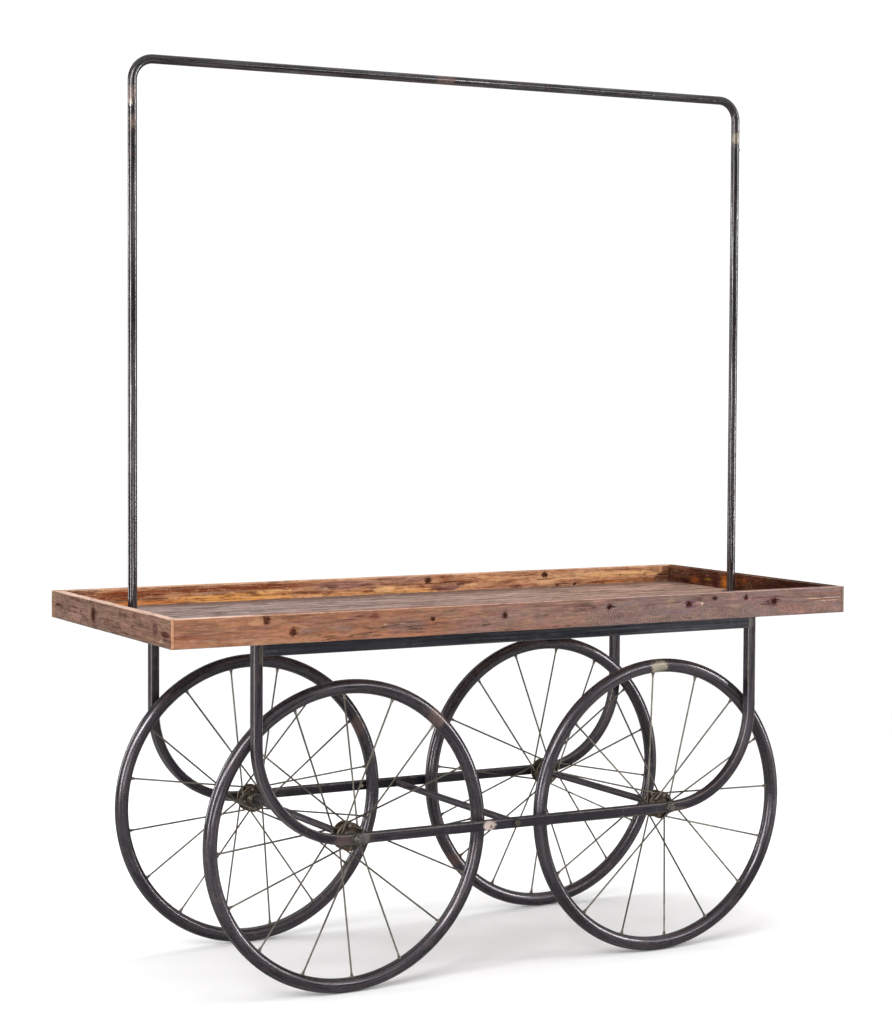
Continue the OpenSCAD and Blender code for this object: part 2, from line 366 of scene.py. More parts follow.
    def surface(
        self,
        colour: Signal | Colour,
        roughness: Signal | float,
        metallic: Signal | float,
        height: Signal,
        relief: float,
        strength: float = 1.0,
        specular: float = 0.5,
        coat: float = 0.0,
    ) -> bpy.types.Material:
        """Closes the material with one glossy surface.

        Args:
            colour: Its base colour.
            roughness: Its roughness.
            metallic: How metallic it is.
            height: The height that its fine relief comes from.
            relief: What a height of one stands for, in metres.
            strength: How strongly the relief shows.
            specular: The level of its plain gloss.
            coat: How much clear lacquer it has.

        Returns:
            The finished material.
        """
        bump = self.node(
            "Bump", {}, {"Strength": strength, "Distance": relief, "Height": height}
        )
        shader = self.node(
            "BsdfPrincipled",
            {},
            {
                "Base Color": colour,
                "Roughness": roughness,
                "Metallic": metallic,
                "Specular IOR Level": specular,
                "Coat Weight": coat,
                "Coat Roughness": 0.16,
                "Normal": Signal(self, bump.outputs[0]),
            },
        )
        output = self.node("OutputMaterial")
        self.tree.links.new(shader.outputs[0], output.inputs[0])
        return self.owner


# -------------------------------------------------------------------- finishes


@dataclass(frozen=True)
class Knot:
    """A knot through a board, by its place along and across the board."""

    along: float
    across: float
    radius: float
    streak: float = 1.3
    heart: float = 0.0


@dataclass(frozen=True)
class Patch:
    """A patch of another colour on a board, by its middle and its reach."""

    along: float
    across: float
    long: float
    wide: float
    colour: Colour
    strength: float = 0.8
    fray: float = 0.7


@dataclass(frozen=True)
class Stain:
    """A patch of another colour round a point of a steel part: stained, or painted
    shade.
    """

    centre: Triple
    reach: Triple
    colour: Colour
    strength: float = 0.85


@dataclass(frozen=True)
class WoodFinish:
    """Old sawn fir with knots, weathered patches and worn pale arrises."""

    name: str
    warm: Colour
    brown: Colour
    grey: Colour
    dark: Colour
    pale: Colour
    smudge: Colour = srgb(104, 66, 62)
    khaki: Colour = srgb(118, 106, 78)
    rose: Colour = srgb(148, 102, 98)
    weathered: Colour = srgb(128, 98, 84)
    saw_hollow: Colour = srgb(84, 64, 60)
    saw_ridge: Colour = srgb(160, 136, 126)
    split: Colour = srgb(34, 20, 16)
    knot_core: Colour = srgb(46, 15, 8)
    knot_heart: Colour = srgb(86, 48, 30)
    grey_from: float = -0.2
    grey_to: float = 0.6
    grey_most: float = 0.8
    saw_marks: float = 0.0
    saw_from: float = -0.1
    saw_below: float = 0.806
    figure: float = 11.0
    late: float = 0.16
    contrast: float = 1.0
    smudged: float = 0.5
    arris: float = 0.7
    rubbed: Colour = srgb(226, 194, 174)
    outside: float = 9.0
    knots: tuple[Knot, ...] = ()
    patches: tuple[Patch, ...] = ()
    soften: float = 0.6
    uneven: float = 0.0
    shift: float = 0.0

    def shade(self) -> bpy.types.Material:
        """Makes the material.

        Returns:
            The wood.
        """
        s = Shade.named(self.name)
        grain, wear = s.along_mesh()
        along, across, depth = s.parts(grain)
        core, heart, push = self._knot_fields(s, along, across)
        off = (self.shift, self.shift * 0.37, self.shift * 0.71)
        bent = s.join(along, across + push, depth)

        late = self._late_wood(s, bent, off)
        fibre = s.cloud(bent, (16, 640, 640), 4.0, 0.7, shift=off)
        vein = s.cloud(bent, (8, 230, 170), 5.0, 0.72, 0.3, shift=off)
        patch = s.cloud(bent, (7, 60, 40), 5.0, 0.7, 0.9, shift=off)
        broad = s.cloud(grain, (2.2, 9, 9), 4.0, 0.6, 0.5, shift=off)
        mottle = s.cloud(grain, (45, 110, 110), 5.0, 0.7, 0.5, shift=off)

        colour = s.blend(s.rise(patch, 0.4, 0.6), self.warm, self.brown)
        zone = along + (broad - 0.5) * 1.2
        greyed = s.rise(zone, self.grey_from, self.grey_to, 0.0, self.grey_most)
        greyed = greyed * s.rise(mottle, 0.34, 0.54, 0.65, 1.0)
        colour = s.blend(greyed, colour, self.grey)
        tone = s.cloud(grain, (24, 60, 60), 4.0, 0.6, 0.8, shift=off)
        colour = s.blend(s.rise(tone, 0.53, 0.62) * 0.3, colour, self.khaki)
        colour = s.blend(s.rise(tone, 0.47, 0.38) * 0.3, colour, self.rose)
        blot = s.cloud(bent, (10, 70, 60), 5.0, 0.65, 1.4, shift=off)
        smudge = s.rise(blot, 0.53, 0.66) * self.smudged
        colour = s.blend(smudge, colour, self.smudge)
        if self.uneven:
            plank = s.cloud(grain, (0.2, 2.9, 0), 1.0, 0.5, shift=off)
            worn = s.rise(plank, 0.42, 0.6) * self.uneven
            colour = s.blend(worn, colour, self.brown)
        flat = s.join(along, across, 0.0)
        ragged = (mottle - 0.5) * 1.2 + (vein - 0.5) * 2.0
        inside = s.rise(depth, self.outside, self.outside - 1 * MM)
        for spot in self.patches:
            amount = self._patch_amount(s, spot, flat, ragged)
            colour = s.blend(amount * inside, colour, spot.colour)
        outdoors = s.rise(depth, self.outside - 1 * MM, self.outside)
        colour = s.blend(outdoors * 0.8, colour, self.weathered)

        lines = late * self.late + s.rise(vein, 0.5, 0.68) * 0.34
        lines = lines + s.rise(fibre, 0.5, 0.7) * 0.22
        lines = lines + s.rise(mottle, 0.5, 0.66) * 0.26
        colour = s.blend(lines * self.contrast, colour, self.dark)
        light = s.rise(fibre, 0.5, 0.34) * 0.22 + s.rise(vein, 0.46, 0.3) * 0.3
        light = light + s.rise(mottle, 0.46, 0.34) * 0.2
        colour = s.blend(light * self.contrast, colour, self.pale)

        height = fibre * 0.8 + vein * 0.6 - late * 0.4
        if self.saw_marks:
            saw = self._saw_marks(s, along, across, depth)
            colour = s.blend(s.rise(saw, 0.1, 0.9) * 0.45, colour, self.saw_hollow)
            colour = s.blend(s.rise(saw, -0.1, -0.9) * 0.3, colour, self.saw_ridge)
            height = height - saw * 0.8
        crack = self._cracks(s, bent, off)
        colour = s.blend(crack * 0.85, colour, self.split)
        colour = s.blend(core, colour, self.knot_core)
        colour = s.blend(heart, colour, self.knot_heart)

        fleck = s.cloud(grain, (70, 300, 300), 3.0, 0.6, shift=off)
        rub = s.rise(wear + (fleck - 0.5) * 1.6, 0.5, 0.9)
        colour = s.blend(rub * self.arris, colour, self.rubbed)
        rough = s.rise(fibre, 0.3, 0.7, 0.6, 0.82)
        height = height - crack * 1.2 - core * 0.5
        return s.surface(colour, rough, 0.0, height, 0.8 * MM, 0.8, 0.03)

    def _patch_amount(
        self, s: Shade, spot: Patch, flat: Signal, ragged: Signal
    ) -> Signal:
        """How strongly one patch shows.

        Args:
            s: The material.
            spot: The patch.
            flat: The place along and across the board.
            ragged: A noise that frays its outline.

        Returns:
            Its amount, 0 to 1.
        """
        squeezed = s.stretch(flat, (1 / spot.long, 1 / spot.wide, 0))
        centre = (spot.along / spot.long, spot.across / spot.wide, 0.0)
        frayed = s.distance(squeezed, centre) + ragged * spot.fray
        soft = min(1.0, 0.2 + spot.fray * self.soften)
        return s.rise(frayed, 1.15 - soft, 1.15, spot.strength, 0.0)

    def _late_wood(self, s: Shade, bent: Signal, off: Triple) -> Signal:
        """The dark lines of the late wood, as contours of a stretched noise.

        Args:
            s: The material.
            bent: The place, pushed aside by the knots.
            off: A shift that gives another pattern.

        Returns:
            The lines, 0 to 1.
        """
        hills = s.cloud(bent, (1.5, 13, 10), 2.0, 0.35, 0.25, shift=off)
        ripple = s.cloud(bent, (16, 70, 70), 3.0, 0.5, shift=off)
        phase = s.math("FRACT", hills * self.figure + ripple * 0.55)
        line = s.rise(phase, 0.25, 0.86) * s.rise(phase, 1.0, 0.9)
        return line * s.rise(ripple, 0.36, 0.58, 0.35, 1.0)

    def _knot_fields(
        self, s: Shade, along: Signal, across: Signal
    ) -> tuple[Signal | float, Signal | float, Signal | float]:
        """Works out where the knots show and how they push the grain aside.

        Args:
            s: The material.
            along: The place along the board.
            across: The place across it.

        Returns:
            The knots' dark cores, their hearts, and the push on the grain.
        """
        core, heart, push = 0.0, 0.0, 0.0
        flat = s.join(along, across, 0.0)
        wobble = s.cloud(flat, (170, 210, 1), 3.0, 0.6)
        for knot in self.knots:
            squeezed = s.stretch(flat, (1 / knot.streak, 1, 0))
            centre = (knot.along / knot.streak, knot.across, 0.0)
            away = s.distance(squeezed, centre) + (wobble - 0.5) * knot.radius * 2.2
            size = knot.radius
            core = s.rise(away, size * 0.45, size * 1.65, 0.97, 0.0) + core
            if knot.heart:
                shifted = (centre[0] - size * 0.2, centre[1] + size * 0.1, 0.0)
                inner = s.distance(squeezed, shifted) + (wobble - 0.5) * size
                heart = s.rise(inner, size * 0.15, size * 0.6, knot.heart, 0.0) + heart
            gap = across - knot.across
            turn = gap / (abs(gap) + 5 * MM)
            near = s.rise(away, size * 0.6, size * 5, 1.0, 0.0)
            push = push - near * turn * (size * 1.1)
        return core, heart, push

    def _saw_marks(
        self, s: Shade, along: Signal, across: Signal, depth: Signal
    ) -> Signal:
        """Fine slanting marks that the saw left along the lower edge.

        Args:
            s: The material.
            along: The place along the board.
            across: The place across it.
            depth: The place through it.

        Returns:
            The marks, from -1 in a hollow to 1 on a ridge.
        """
        slant = s.join(along + across * 0.6, across, depth)
        jitter = s.cloud(slant, (50, 90, 30), 3.0, 0.6)
        wave = s.math("SINE", (along + across * 0.6) * 1000 + jitter * 24)
        where = s.cloud(slant, (16, 130, 34), 4.0, 0.6, shift=(4.1, 2.2, 0.3))
        edge = across + (where - 0.5) * 0.06
        inside = s.rise(edge, self.saw_below + 4 * MM, self.saw_below - 4 * MM)
        start = self.saw_from
        reached = s.rise(along + (where - 0.5) * 0.5, start, start + 0.3)
        return wave * inside * reached * s.rise(where, 0.4, 0.52) * self.saw_marks

    @staticmethod
    def _cracks(s: Shade, bent: Signal, off: Triple) -> Signal:
        """Short dark splits that follow the grain.

        Args:
            s: The material.
            bent: The place, pushed aside by the knots.
            off: A shift that gives another pattern.

        Returns:
            The cracks, 0 to 1.
        """
        gap = s.cloud(bent, (5, 110, 70), 3.0, 0.5, shift=off)
        thin = s.rise(abs(gap - 0.5), 0.0, 0.016, 1.0, 0.0)
        where = s.cloud(bent, (13, 45, 45), 2.0, shift=(off[0] + 7, 1, 2))
        return thin * s.rise(where, 0.52, 0.62)


@dataclass(frozen=True)
class SteelFinish:
    """Dark oiled steel, drawn lengthwise, with bare rubbed places and rust."""

    name: str
    dark: Colour = srgb(54, 50, 57)
    tint: Colour = srgb(82, 76, 83)
    light: Colour = srgb(126, 122, 130)
    bare: Colour = srgb(158, 150, 144)
    rust: Colour = srgb(84, 60, 48)
    oil: Colour = srgb(22, 20, 24)
    streaks: float = 0.6
    worn: float = 0.5
    rusty: float = 0.3
    gloss: float = 0.3
    coat: float = 0.3
    drawn: bool = True
    stains: tuple[Stain, ...] = ()

    def shade(self) -> bpy.types.Material:
        """Makes the material.

        Returns:
            The steel.
        """
        s = Shade.named(self.name)
        line, wear = s.along_mesh()
        long = 2.6 if self.drawn else 40.0
        broad = s.cloud(line, (long * 2, 50, 50), 5.0, 0.65, 0.5)
        fine = s.cloud(line, (long * 4, 700, 700), 4.0, 0.7)
        band = s.cloud(line, (long * 1.5, 230, 230), 4.0, 0.65)
        mottle = s.cloud(s.place, (28, 28, 28), 6.0, 0.65, 0.6)
        speck = s.cloud(s.place, (260, 260, 260), 4.0, 0.6)

        colour = s.blend(s.rise(broad, 0.38, 0.62), self.dark, self.tint)
        pull = s.rise(band, 0.48, 0.64) * 0.7 + s.rise(fine, 0.5, 0.7) * 0.4
        pull = pull * s.rise(mottle, 0.36, 0.56, 0.35, 1.0)
        colour = s.blend(pull * self.streaks, colour, self.light)
        black = s.rise(band, 0.46, 0.34) * s.rise(mottle, 0.58, 0.42)
        colour = s.blend(black * 0.7, colour, self.oil)
        edge = s.rise(wear + (speck - 0.5) * 1.5, 0.5, 1.0)
        scuff = s.rise(mottle + (fine - 0.5) * 0.5, 0.6, 0.7) * 0.35
        colour = s.blend((edge + scuff) * self.worn, colour, self.bare)
        rusted = s.rise(mottle + (speck - 0.5) * 0.35, 0.47, 0.36) * self.rusty
        colour = s.blend(rusted, colour, self.rust)
        dull = rusted
        for stain_or_shade in self.stains:
            amount = self._stain_amount(s, stain_or_shade, mottle, speck)
            colour = s.blend(amount, colour, stain_or_shade.colour)
            dull = dull + amount * 0.55
        metal = 0.82 - dull * 0.7
        rough = s.rise(fine, 0.3, 0.7, self.gloss - 0.06, self.gloss + 0.14)
        rough = rough + dull * 0.28 + s.rise(speck, 0.5, 0.7) * 0.08
        height = fine * 0.5 + broad * 0.6 + speck * 0.35 + dull * speck * 0.8
        return s.surface(colour, rough, metal, height, 0.2 * MM, 0.5, 0.5, self.coat)

    @staticmethod
    def _stain_amount(s: Shade, stain_or_shade: Stain, mottle: Signal, speck: Signal) -> Signal:
        """How strongly one stained or painted-shade patch shows.

        Args:
            s: The material.
            stain_or_shade: The stained or painted-shade patch.
            mottle: A coarse noise that frays its outline.
            speck: A fine noise that breaks it up.

        Returns:
            Its amount, 0 to 1.
        """
        inverse = tuple(1 / reach for reach in stain_or_shade.reach)
        centre = tuple(c / r for c, r in zip(stain_or_shade.centre, stain_or_shade.reach))
        away = s.distance(s.stretch(s.place, inverse), centre)
        frayed = away + (mottle - 0.5) * 1.3 + (speck - 0.5) * 0.9
        return s.rise(frayed, 0.6, 1.05, stain_or_shade.strength, 0.0)


# The woods of the boards. Knots and patches are placed along the board and up
# from the floor, or across it on the deck, in metres.

PLUM = srgb(84, 48, 58)
FRONT_FIR = WoodFinish(
    "fir_front",
    warm=srgb(149, 99, 70),
    brown=srgb(123, 84, 66),
    grey=srgb(112, 97, 97),
    dark=srgb(82, 54, 46),
    pale=srgb(168, 134, 116),
    smudge=srgb(108, 76, 66),
    arris=0.5,
    rubbed=srgb(206, 174, 158),
    saw_marks=1.0,
    saw_from=-0.06,
    knots=(
        Knot(-0.640, 0.8190, 8.0 * MM, 1.0, 0.8),
        Knot(-0.5805, 0.7915, 8.0 * MM, 1.0, 0.8),
        Knot(-0.2530, 0.8035, 5.0 * MM, 1.1),
        Knot(-0.0750, 0.8030, 7.0 * MM, 1.0),
        Knot(0.1935, 0.8090, 6.0 * MM, 1.1),
        Knot(0.4070, 0.8060, 7.0 * MM, 1.1),
        Knot(0.4795, 0.8170, 4.5 * MM, 1.5),
        Knot(0.5665, 0.8145, 6.0 * MM, 1.1),
        Knot(0.6460, 0.8025, 7.5 * MM, 1.2),
    ),
    grey_from=-0.5,
    grey_to=0.35,
    grey_most=0.95,
    contrast=1.2,
    smudged=0.5,
    patches=(
        Patch(-0.760, 0.8296, 0.160, 0.0011, srgb(230, 198, 182), 0.8, 0.3),
        Patch(-0.820, 0.7915, 0.060, 0.005, srgb(112, 56, 38), 0.75),
        Patch(-0.700, 0.7930, 0.120, 0.008, srgb(140, 94, 70), 0.5),
        Patch(-0.620, 0.7770, 0.140, 0.006, srgb(170, 126, 96), 0.4),
        Patch(-0.660, 0.8150, 0.026, 0.007, srgb(186, 138, 92), 0.45, 0.9),
        Patch(-0.600, 0.8190, 0.035, 0.002, srgb(120, 74, 50), 0.7),
        Patch(-0.750, 0.7690, 0.300, 0.003, srgb(118, 108, 86), 0.5),
        Patch(-0.425, 0.8175, 0.014, 0.0022, srgb(84, 42, 24), 0.95, 0.5),
        Patch(-0.392, 0.8165, 0.018, 0.009, srgb(88, 32, 30), 0.95, 1.1),
        Patch(-0.387, 0.7750, 0.014, 0.003, srgb(84, 54, 44), 0.7),
        Patch(-0.550, 0.7920, 0.016, 0.006, srgb(108, 84, 86), 0.5),
        Patch(-0.462, 0.7920, 0.022, 0.011, srgb(112, 84, 76), 0.6),
        Patch(-0.320, 0.7930, 0.060, 0.014, srgb(104, 84, 78), 0.7),
        Patch(-0.366, 0.7970, 0.005, 0.003, srgb(186, 152, 126), 0.6, 0.9),
        Patch(-0.326, 0.7970, 0.007, 0.005, srgb(160, 126, 116), 0.55, 0.9),
        Patch(0.202, 0.8085, 0.010, 0.0018, srgb(52, 30, 34), 0.9, 0.4),
        Patch(0.196, 0.8130, 0.010, 0.0100, srgb(104, 78, 88), 0.6),
        Patch(0.060, 0.8180, 0.100, 0.0014, srgb(98, 66, 62), 0.7, 0.5),
        Patch(0.120, 0.8130, 0.070, 0.0012, srgb(96, 66, 64), 0.6, 0.5),
        Patch(0.412, 0.8060, 0.024, 0.0120, srgb(92, 66, 84), 0.75),
        Patch(0.380, 0.7890, 0.050, 0.0060, srgb(112, 98, 108), 0.6),
        Patch(0.4435, 0.807, 0.0042, 0.006, srgb(206, 178, 162), 0.85, 0.7),
        Patch(0.434, 0.8085, 0.012, 0.0030, srgb(176, 140, 128), 0.7),
        Patch(0.604, 0.8130, 0.022, 0.0018, PLUM, 0.9, 0.6),
        Patch(0.589, 0.8110, 0.012, 0.0022, PLUM, 0.8, 0.6),
        Patch(0.640, 0.8035, 0.026, 0.0130, srgb(104, 72, 84), 0.75),
        Patch(0.622, 0.7972, 0.018, 0.0022, srgb(48, 26, 30), 0.95, 0.5),
        Patch(0.654, 0.8060, 0.010, 0.0022, srgb(48, 26, 34), 0.9, 0.5),
        Patch(0.700, 0.7830, 0.050, 0.0120, srgb(142, 100, 90), 0.5),
        Patch(0.790, 0.7830, 0.030, 0.0110, srgb(146, 104, 92), 0.5),
        Patch(0.770, 0.8150, 0.090, 0.0025, srgb(124, 80, 66), 0.6, 0.6),
        Patch(0.790, 0.8045, 0.060, 0.0013, srgb(216, 174, 146), 0.7, 0.4),
        Patch(0.800, 0.7985, 0.040, 0.0012, srgb(214, 172, 144), 0.6, 0.4),
        Patch(0.780, 0.8010, 0.050, 0.0012, srgb(104, 66, 52), 0.7, 0.4),
    ),
)
BACK_FIR = WoodFinish(
    "fir_back",
    warm=srgb(216, 160, 118),
    brown=srgb(190, 130, 94),
    grey=srgb(150, 104, 84),
    dark=srgb(100, 54, 38),
    pale=srgb(238, 194, 150),
    smudge=srgb(146, 78, 52),
    knots=(
        Knot(0.1130, 0.8160, 7.5 * MM, 1.3, 0.8),
        Knot(0.4500, 0.8170, 7.5 * MM, 1.2, 0.6),
        Knot(0.4870, 0.7880, 3.5 * MM, 1.2),
        Knot(0.5400, 0.7900, 3.5 * MM, 1.2),
    ),
    grey_from=2.0,
    grey_to=3.0,
    late=0.3,
    contrast=1.5,
    smudged=0.7,
    arris=0.3,
    rubbed=srgb(176, 146, 128),
    outside=0.3492,
    shift=5.3,
    soften=0.3,
    patches=(
        Patch(-0.800, 0.8100, 0.070, 0.0300, srgb(112, 74, 60), 0.9, 0.7),
        Patch(-0.450, 0.8180, 0.330, 0.0080, srgb(116, 48, 24), 0.95, 1.0),
        Patch(-0.680, 0.8120, 0.110, 0.0120, srgb(124, 52, 22), 0.95, 0.9),
        Patch(-0.640, 0.7930, 0.150, 0.0060, srgb(206, 124, 58), 0.9, 0.9),
        Patch(-0.640, 0.8010, 0.090, 0.0018, srgb(58, 24, 14), 0.9, 0.9),
        Patch(-0.660, 0.8110, 0.080, 0.0016, srgb(58, 24, 14), 0.8, 0.9),
        Patch(-0.450, 0.8080, 0.060, 0.0045, srgb(152, 112, 94), 0.9, 1.0),
        Patch(-0.390, 0.8075, 0.040, 0.0016, srgb(70, 30, 18), 0.9, 0.8),
        Patch(-0.400, 0.7960, 0.165, 0.0110, srgb(240, 168, 92), 0.95, 0.8),
        Patch(-0.320, 0.8070, 0.060, 0.0035, srgb(252, 196, 122), 0.9, 0.8),
        Patch(0.020, 0.7930, 0.220, 0.0060, srgb(236, 168, 100), 0.8, 1.0),
        Patch(-0.215, 0.8000, 0.045, 0.0040, srgb(96, 44, 24), 0.85, 1.4),
        Patch(-0.120, 0.8140, 0.100, 0.0100, srgb(136, 92, 92), 0.95, 0.8),
        Patch(-0.158, 0.8110, 0.024, 0.0045, srgb(66, 40, 42), 0.95, 0.8),
        Patch(-0.050, 0.7960, 0.030, 0.0030, srgb(112, 62, 40), 0.8, 1.4),
        Patch(-0.010, 0.7990, 0.030, 0.0080, srgb(238, 186, 130), 0.9, 0.6),
        Patch(0.050, 0.8200, 0.090, 0.0100, srgb(150, 108, 96), 0.85, 0.9),
        Patch(0.110, 0.8080, 0.080, 0.0013, srgb(82, 40, 34), 0.8, 0.6),
        Patch(0.165, 0.7965, 0.042, 0.0075, srgb(128, 84, 84), 0.98, 0.5),
        Patch(0.160, 0.7925, 0.030, 0.0016, srgb(78, 34, 34), 0.9, 0.8),
        Patch(0.205, 0.8050, 0.012, 0.0060, srgb(112, 66, 70), 0.98, 0.5),
        Patch(0.350, 0.7920, 0.100, 0.0060, srgb(194, 130, 108), 0.6, 0.8),
        Patch(0.450, 0.7990, 0.035, 0.0060, srgb(228, 174, 134), 0.8, 0.6),
        Patch(0.448, 0.8065, 0.028, 0.0013, srgb(104, 56, 36), 0.9, 0.6),
        Patch(0.505, 0.7960, 0.014, 0.0060, srgb(120, 66, 42), 0.6, 1.4),
        Patch(0.600, 0.8150, 0.230, 0.0060, srgb(222, 174, 130), 0.7, 0.8),
        Patch(0.690, 0.8100, 0.130, 0.0050, srgb(246, 190, 128), 0.85, 0.6),
        Patch(0.700, 0.7920, 0.130, 0.0065, srgb(162, 86, 40), 0.9, 0.8),
        Patch(0.835, 0.7960, 0.050, 0.0200, srgb(58, 24, 14), 0.95, 0.4),
        Patch(0.830, 0.8180, 0.022, 0.0200, srgb(96, 52, 34), 0.8, 0.4),
        Patch(-0.860, 0.8000, 0.036, 0.0900, srgb(92, 78, 68), 0.97, 0.1),
        Patch(0.000, 0.8290, 1.200, 0.0030, srgb(172, 140, 120), 0.7, 0.3),
    ),
)
LEFT_FIR = WoodFinish(
    "fir_left_end",
    warm=srgb(113, 84, 69),
    brown=srgb(98, 73, 60),
    grey=srgb(106, 84, 76),
    dark=srgb(60, 40, 35),
    pale=srgb(140, 112, 96),
    smudge=srgb(78, 52, 46),
    rubbed=srgb(206, 174, 156),
    arris=0.45,
    knots=(Knot(0.0870, 0.7985, 17.0 * MM, 0.7),),
    grey_from=-0.6,
    grey_to=0.4,
    contrast=1.25,
    smudged=1.0,
    shift=11.7,
    patches=(
        Patch(0.302, 0.8007, 0.024, 0.0036, srgb(50, 26, 22), 0.97, 0.4),
        Patch(0.280, 0.7950, 0.016, 0.0016, srgb(80, 52, 42), 0.7, 0.5),
        Patch(0.190, 0.7930, 0.040, 0.0100, srgb(128, 94, 92), 0.5),
        Patch(0.005, 0.7900, 0.022, 0.0090, srgb(84, 54, 46), 0.85),
        Patch(-0.030, 0.8110, 0.024, 0.0060, srgb(94, 66, 58), 0.7),
        Patch(-0.072, 0.8150, 0.009, 0.0140, srgb(78, 52, 46), 0.8),
        Patch(-0.180, 0.7860, 0.024, 0.0140, srgb(122, 86, 76), 0.6),
        Patch(-0.265, 0.8020, 0.016, 0.0150, srgb(74, 42, 46), 0.9),
        Patch(-0.318, 0.7955, 0.024, 0.0070, srgb(54, 20, 16), 0.97, 0.5),
        Patch(-0.316, 0.7850, 0.014, 0.0022, srgb(48, 34, 30), 0.9, 0.5),
        Patch(-0.296, 0.7800, 0.010, 0.0040, srgb(170, 148, 134), 0.7),
        Patch(0.000, 0.7690, 0.800, 0.0035, srgb(92, 84, 76), 0.8, 0.4),
        Patch(-0.343, 0.7930, 0.003, 0.0260, srgb(92, 50, 36), 0.85, 0.2),
        Patch(-0.351, 0.8000, 0.004, 0.0900, srgb(182, 134, 104), 0.85, 0.1),
        Patch(0.000, 0.8302, 0.700, 0.0017, srgb(224, 192, 174), 0.75, 0.15),
    ),
)
RIGHT_FIR = WoodFinish(
    "fir_right_end",
    warm=srgb(84, 44, 28),
    brown=srgb(60, 31, 22),
    grey=srgb(104, 80, 72),
    dark=srgb(30, 15, 12),
    pale=srgb(120, 74, 48),
    smudge=srgb(52, 26, 22),
    grey_from=2.0,
    grey_to=3.0,
    smudged=0.7,
    arris=0.3,
    rubbed=srgb(150, 126, 108),
    outside=0.8492,
    shift=17.1,
    patches=(
        Patch(0.250, 0.7960, 0.045, 0.0080, srgb(30, 14, 14), 0.8, 0.9),
        Patch(0.290, 0.8240, 0.060, 0.0040, srgb(122, 80, 58), 0.7, 0.6),
        Patch(0.210, 0.8000, 0.026, 0.0110, srgb(140, 76, 36), 0.75, 1.5),
        Patch(0.155, 0.8050, 0.020, 0.0070, srgb(124, 92, 30), 0.6, 1.7),
        Patch(0.086, 0.8040, 0.018, 0.0180, srgb(190, 108, 34), 0.75, 1.3),
        Patch(0.122, 0.7990, 0.014, 0.0140, srgb(58, 22, 24), 0.85, 1.0),
        Patch(0.010, 0.8120, 0.030, 0.0120, srgb(132, 68, 28), 0.55, 1.5),
        Patch(-0.230, 0.8000, 0.190, 0.0600, srgb(34, 15, 11), 0.85, 0.6),
        Patch(-0.358, 0.8000, 0.020, 0.0900, srgb(128, 106, 96), 0.95, 0.1),
    ),
)

# The steels, whose stained patches and patches of painted shade are placed in the
# frame's metres.

CREAM = srgb(182, 168, 152)
OLIVE = srgb(104, 98, 80)
GREY = srgb(132, 128, 120)
ROSY = srgb(112, 88, 80)
RUST_BROWN = srgb(96, 66, 48)
FRAME_STEEL = SteelFinish(
    "frame_steel",
    stains=(
        # Painted shade: the first two are dark sheets over the middles of the lower
        # rails, where they lie under the tray.
        Stain((0.060, -0.290, 0.330), (0.34, 0.02, 0.020), srgb(32, 29, 38), 0.9),
        Stain((0.060, 0.270, 0.330), (0.50, 0.02, 0.020), srgb(32, 29, 38), 0.9),
        Stain((-0.073, -0.290, 0.336), (0.019, 0.02, 0.014), srgb(190, 172, 164)),
        Stain((-0.070, -0.290, 0.334), (0.005, 0.02, 0.006), RUST_BROWN),
        Stain((-0.012, -0.290, 0.336), (0.007, 0.02, 0.014), srgb(18, 14, 18)),
        Stain((-0.380, -0.290, 0.338), (0.010, 0.02, 0.012), GREY, 0.4),
        Stain((-0.432, -0.290, 0.336), (0.026, 0.03, 0.016), ROSY, 0.5),
        Stain((-0.410, -0.290, 0.322), (0.034, 0.03, 0.006), srgb(120, 104, 40), 0.7),
        Stain((0.425, -0.290, 0.328), (0.026, 0.03, 0.010), ROSY, 0.45),
        Stain((-0.624, -0.290, 0.744), (0.010, 0.03, 0.022), OLIVE, 0.55),
        Stain((0.622, -0.290, 0.750), (0.014, 0.03, 0.020), GREY, 0.5),
        Stain((-0.100, 0.270, 0.336), (0.006, 0.02, 0.005), CREAM, 0.8),
    ),
)
RAIL_STEEL = SteelFinish(
    "rail_steel",
    dark=srgb(52, 52, 58),
    tint=srgb(74, 76, 82),
    light=srgb(118, 122, 130),
    streaks=0.7,
    worn=0.3,
    gloss=0.4,
    coat=0.1,
    rusty=0.15,
    stains=(
        # Painted shade: a dark sheet over the left part of the front top rail, under
        # the tray's overhang.
        Stain((-0.42, -0.28, 0.752), (0.26, 0.03, 0.04), srgb(38, 38, 48), 0.6),
    ),
)
BOLT_STEEL = SteelFinish(
    "bolt_steel",
    dark=srgb(48, 46, 42),
    tint=srgb(74, 72, 62),
    light=srgb(108, 108, 100),
    bare=srgb(140, 138, 126),
    worn=0.5,
    rusty=0.5,
    gloss=0.44,
    drawn=False,
)
AXLE_STEEL = SteelFinish("axle_steel", rusty=0.5)
RACK_STEEL = SteelFinish(
    "rack_steel",
    dark=srgb(38, 34, 36),
    tint=srgb(70, 64, 66),
    light=srgb(160, 158, 163),
    gloss=0.2,
    coat=0.9,
    streaks=0.7,
    worn=0.35,
    stains=(
        Stain((0.790, 0.008, 1.899), (0.016, 0.02, 0.017), srgb(146, 134, 116), 0.65),
        Stain((-0.790, 0.008, 1.913), (0.016, 0.02, 0.027), srgb(126, 106, 96), 0.7),
        Stain((-0.797, 0.0, 1.895), (0.006, 0.01, 0.009), srgb(178, 164, 148), 0.7),
        Stain((-0.793, -0.002, 1.879), (0.006, 0.009, 0.008), srgb(10, 9, 13), 0.95),
        Stain((-0.790, 0.008, 1.858), (0.012, 0.02, 0.018), srgb(124, 104, 94), 0.55),
        Stain((-0.032, 0.008, 1.99), (0.034, 0.02, 0.02), ROSY, 0.6),
    ),
)
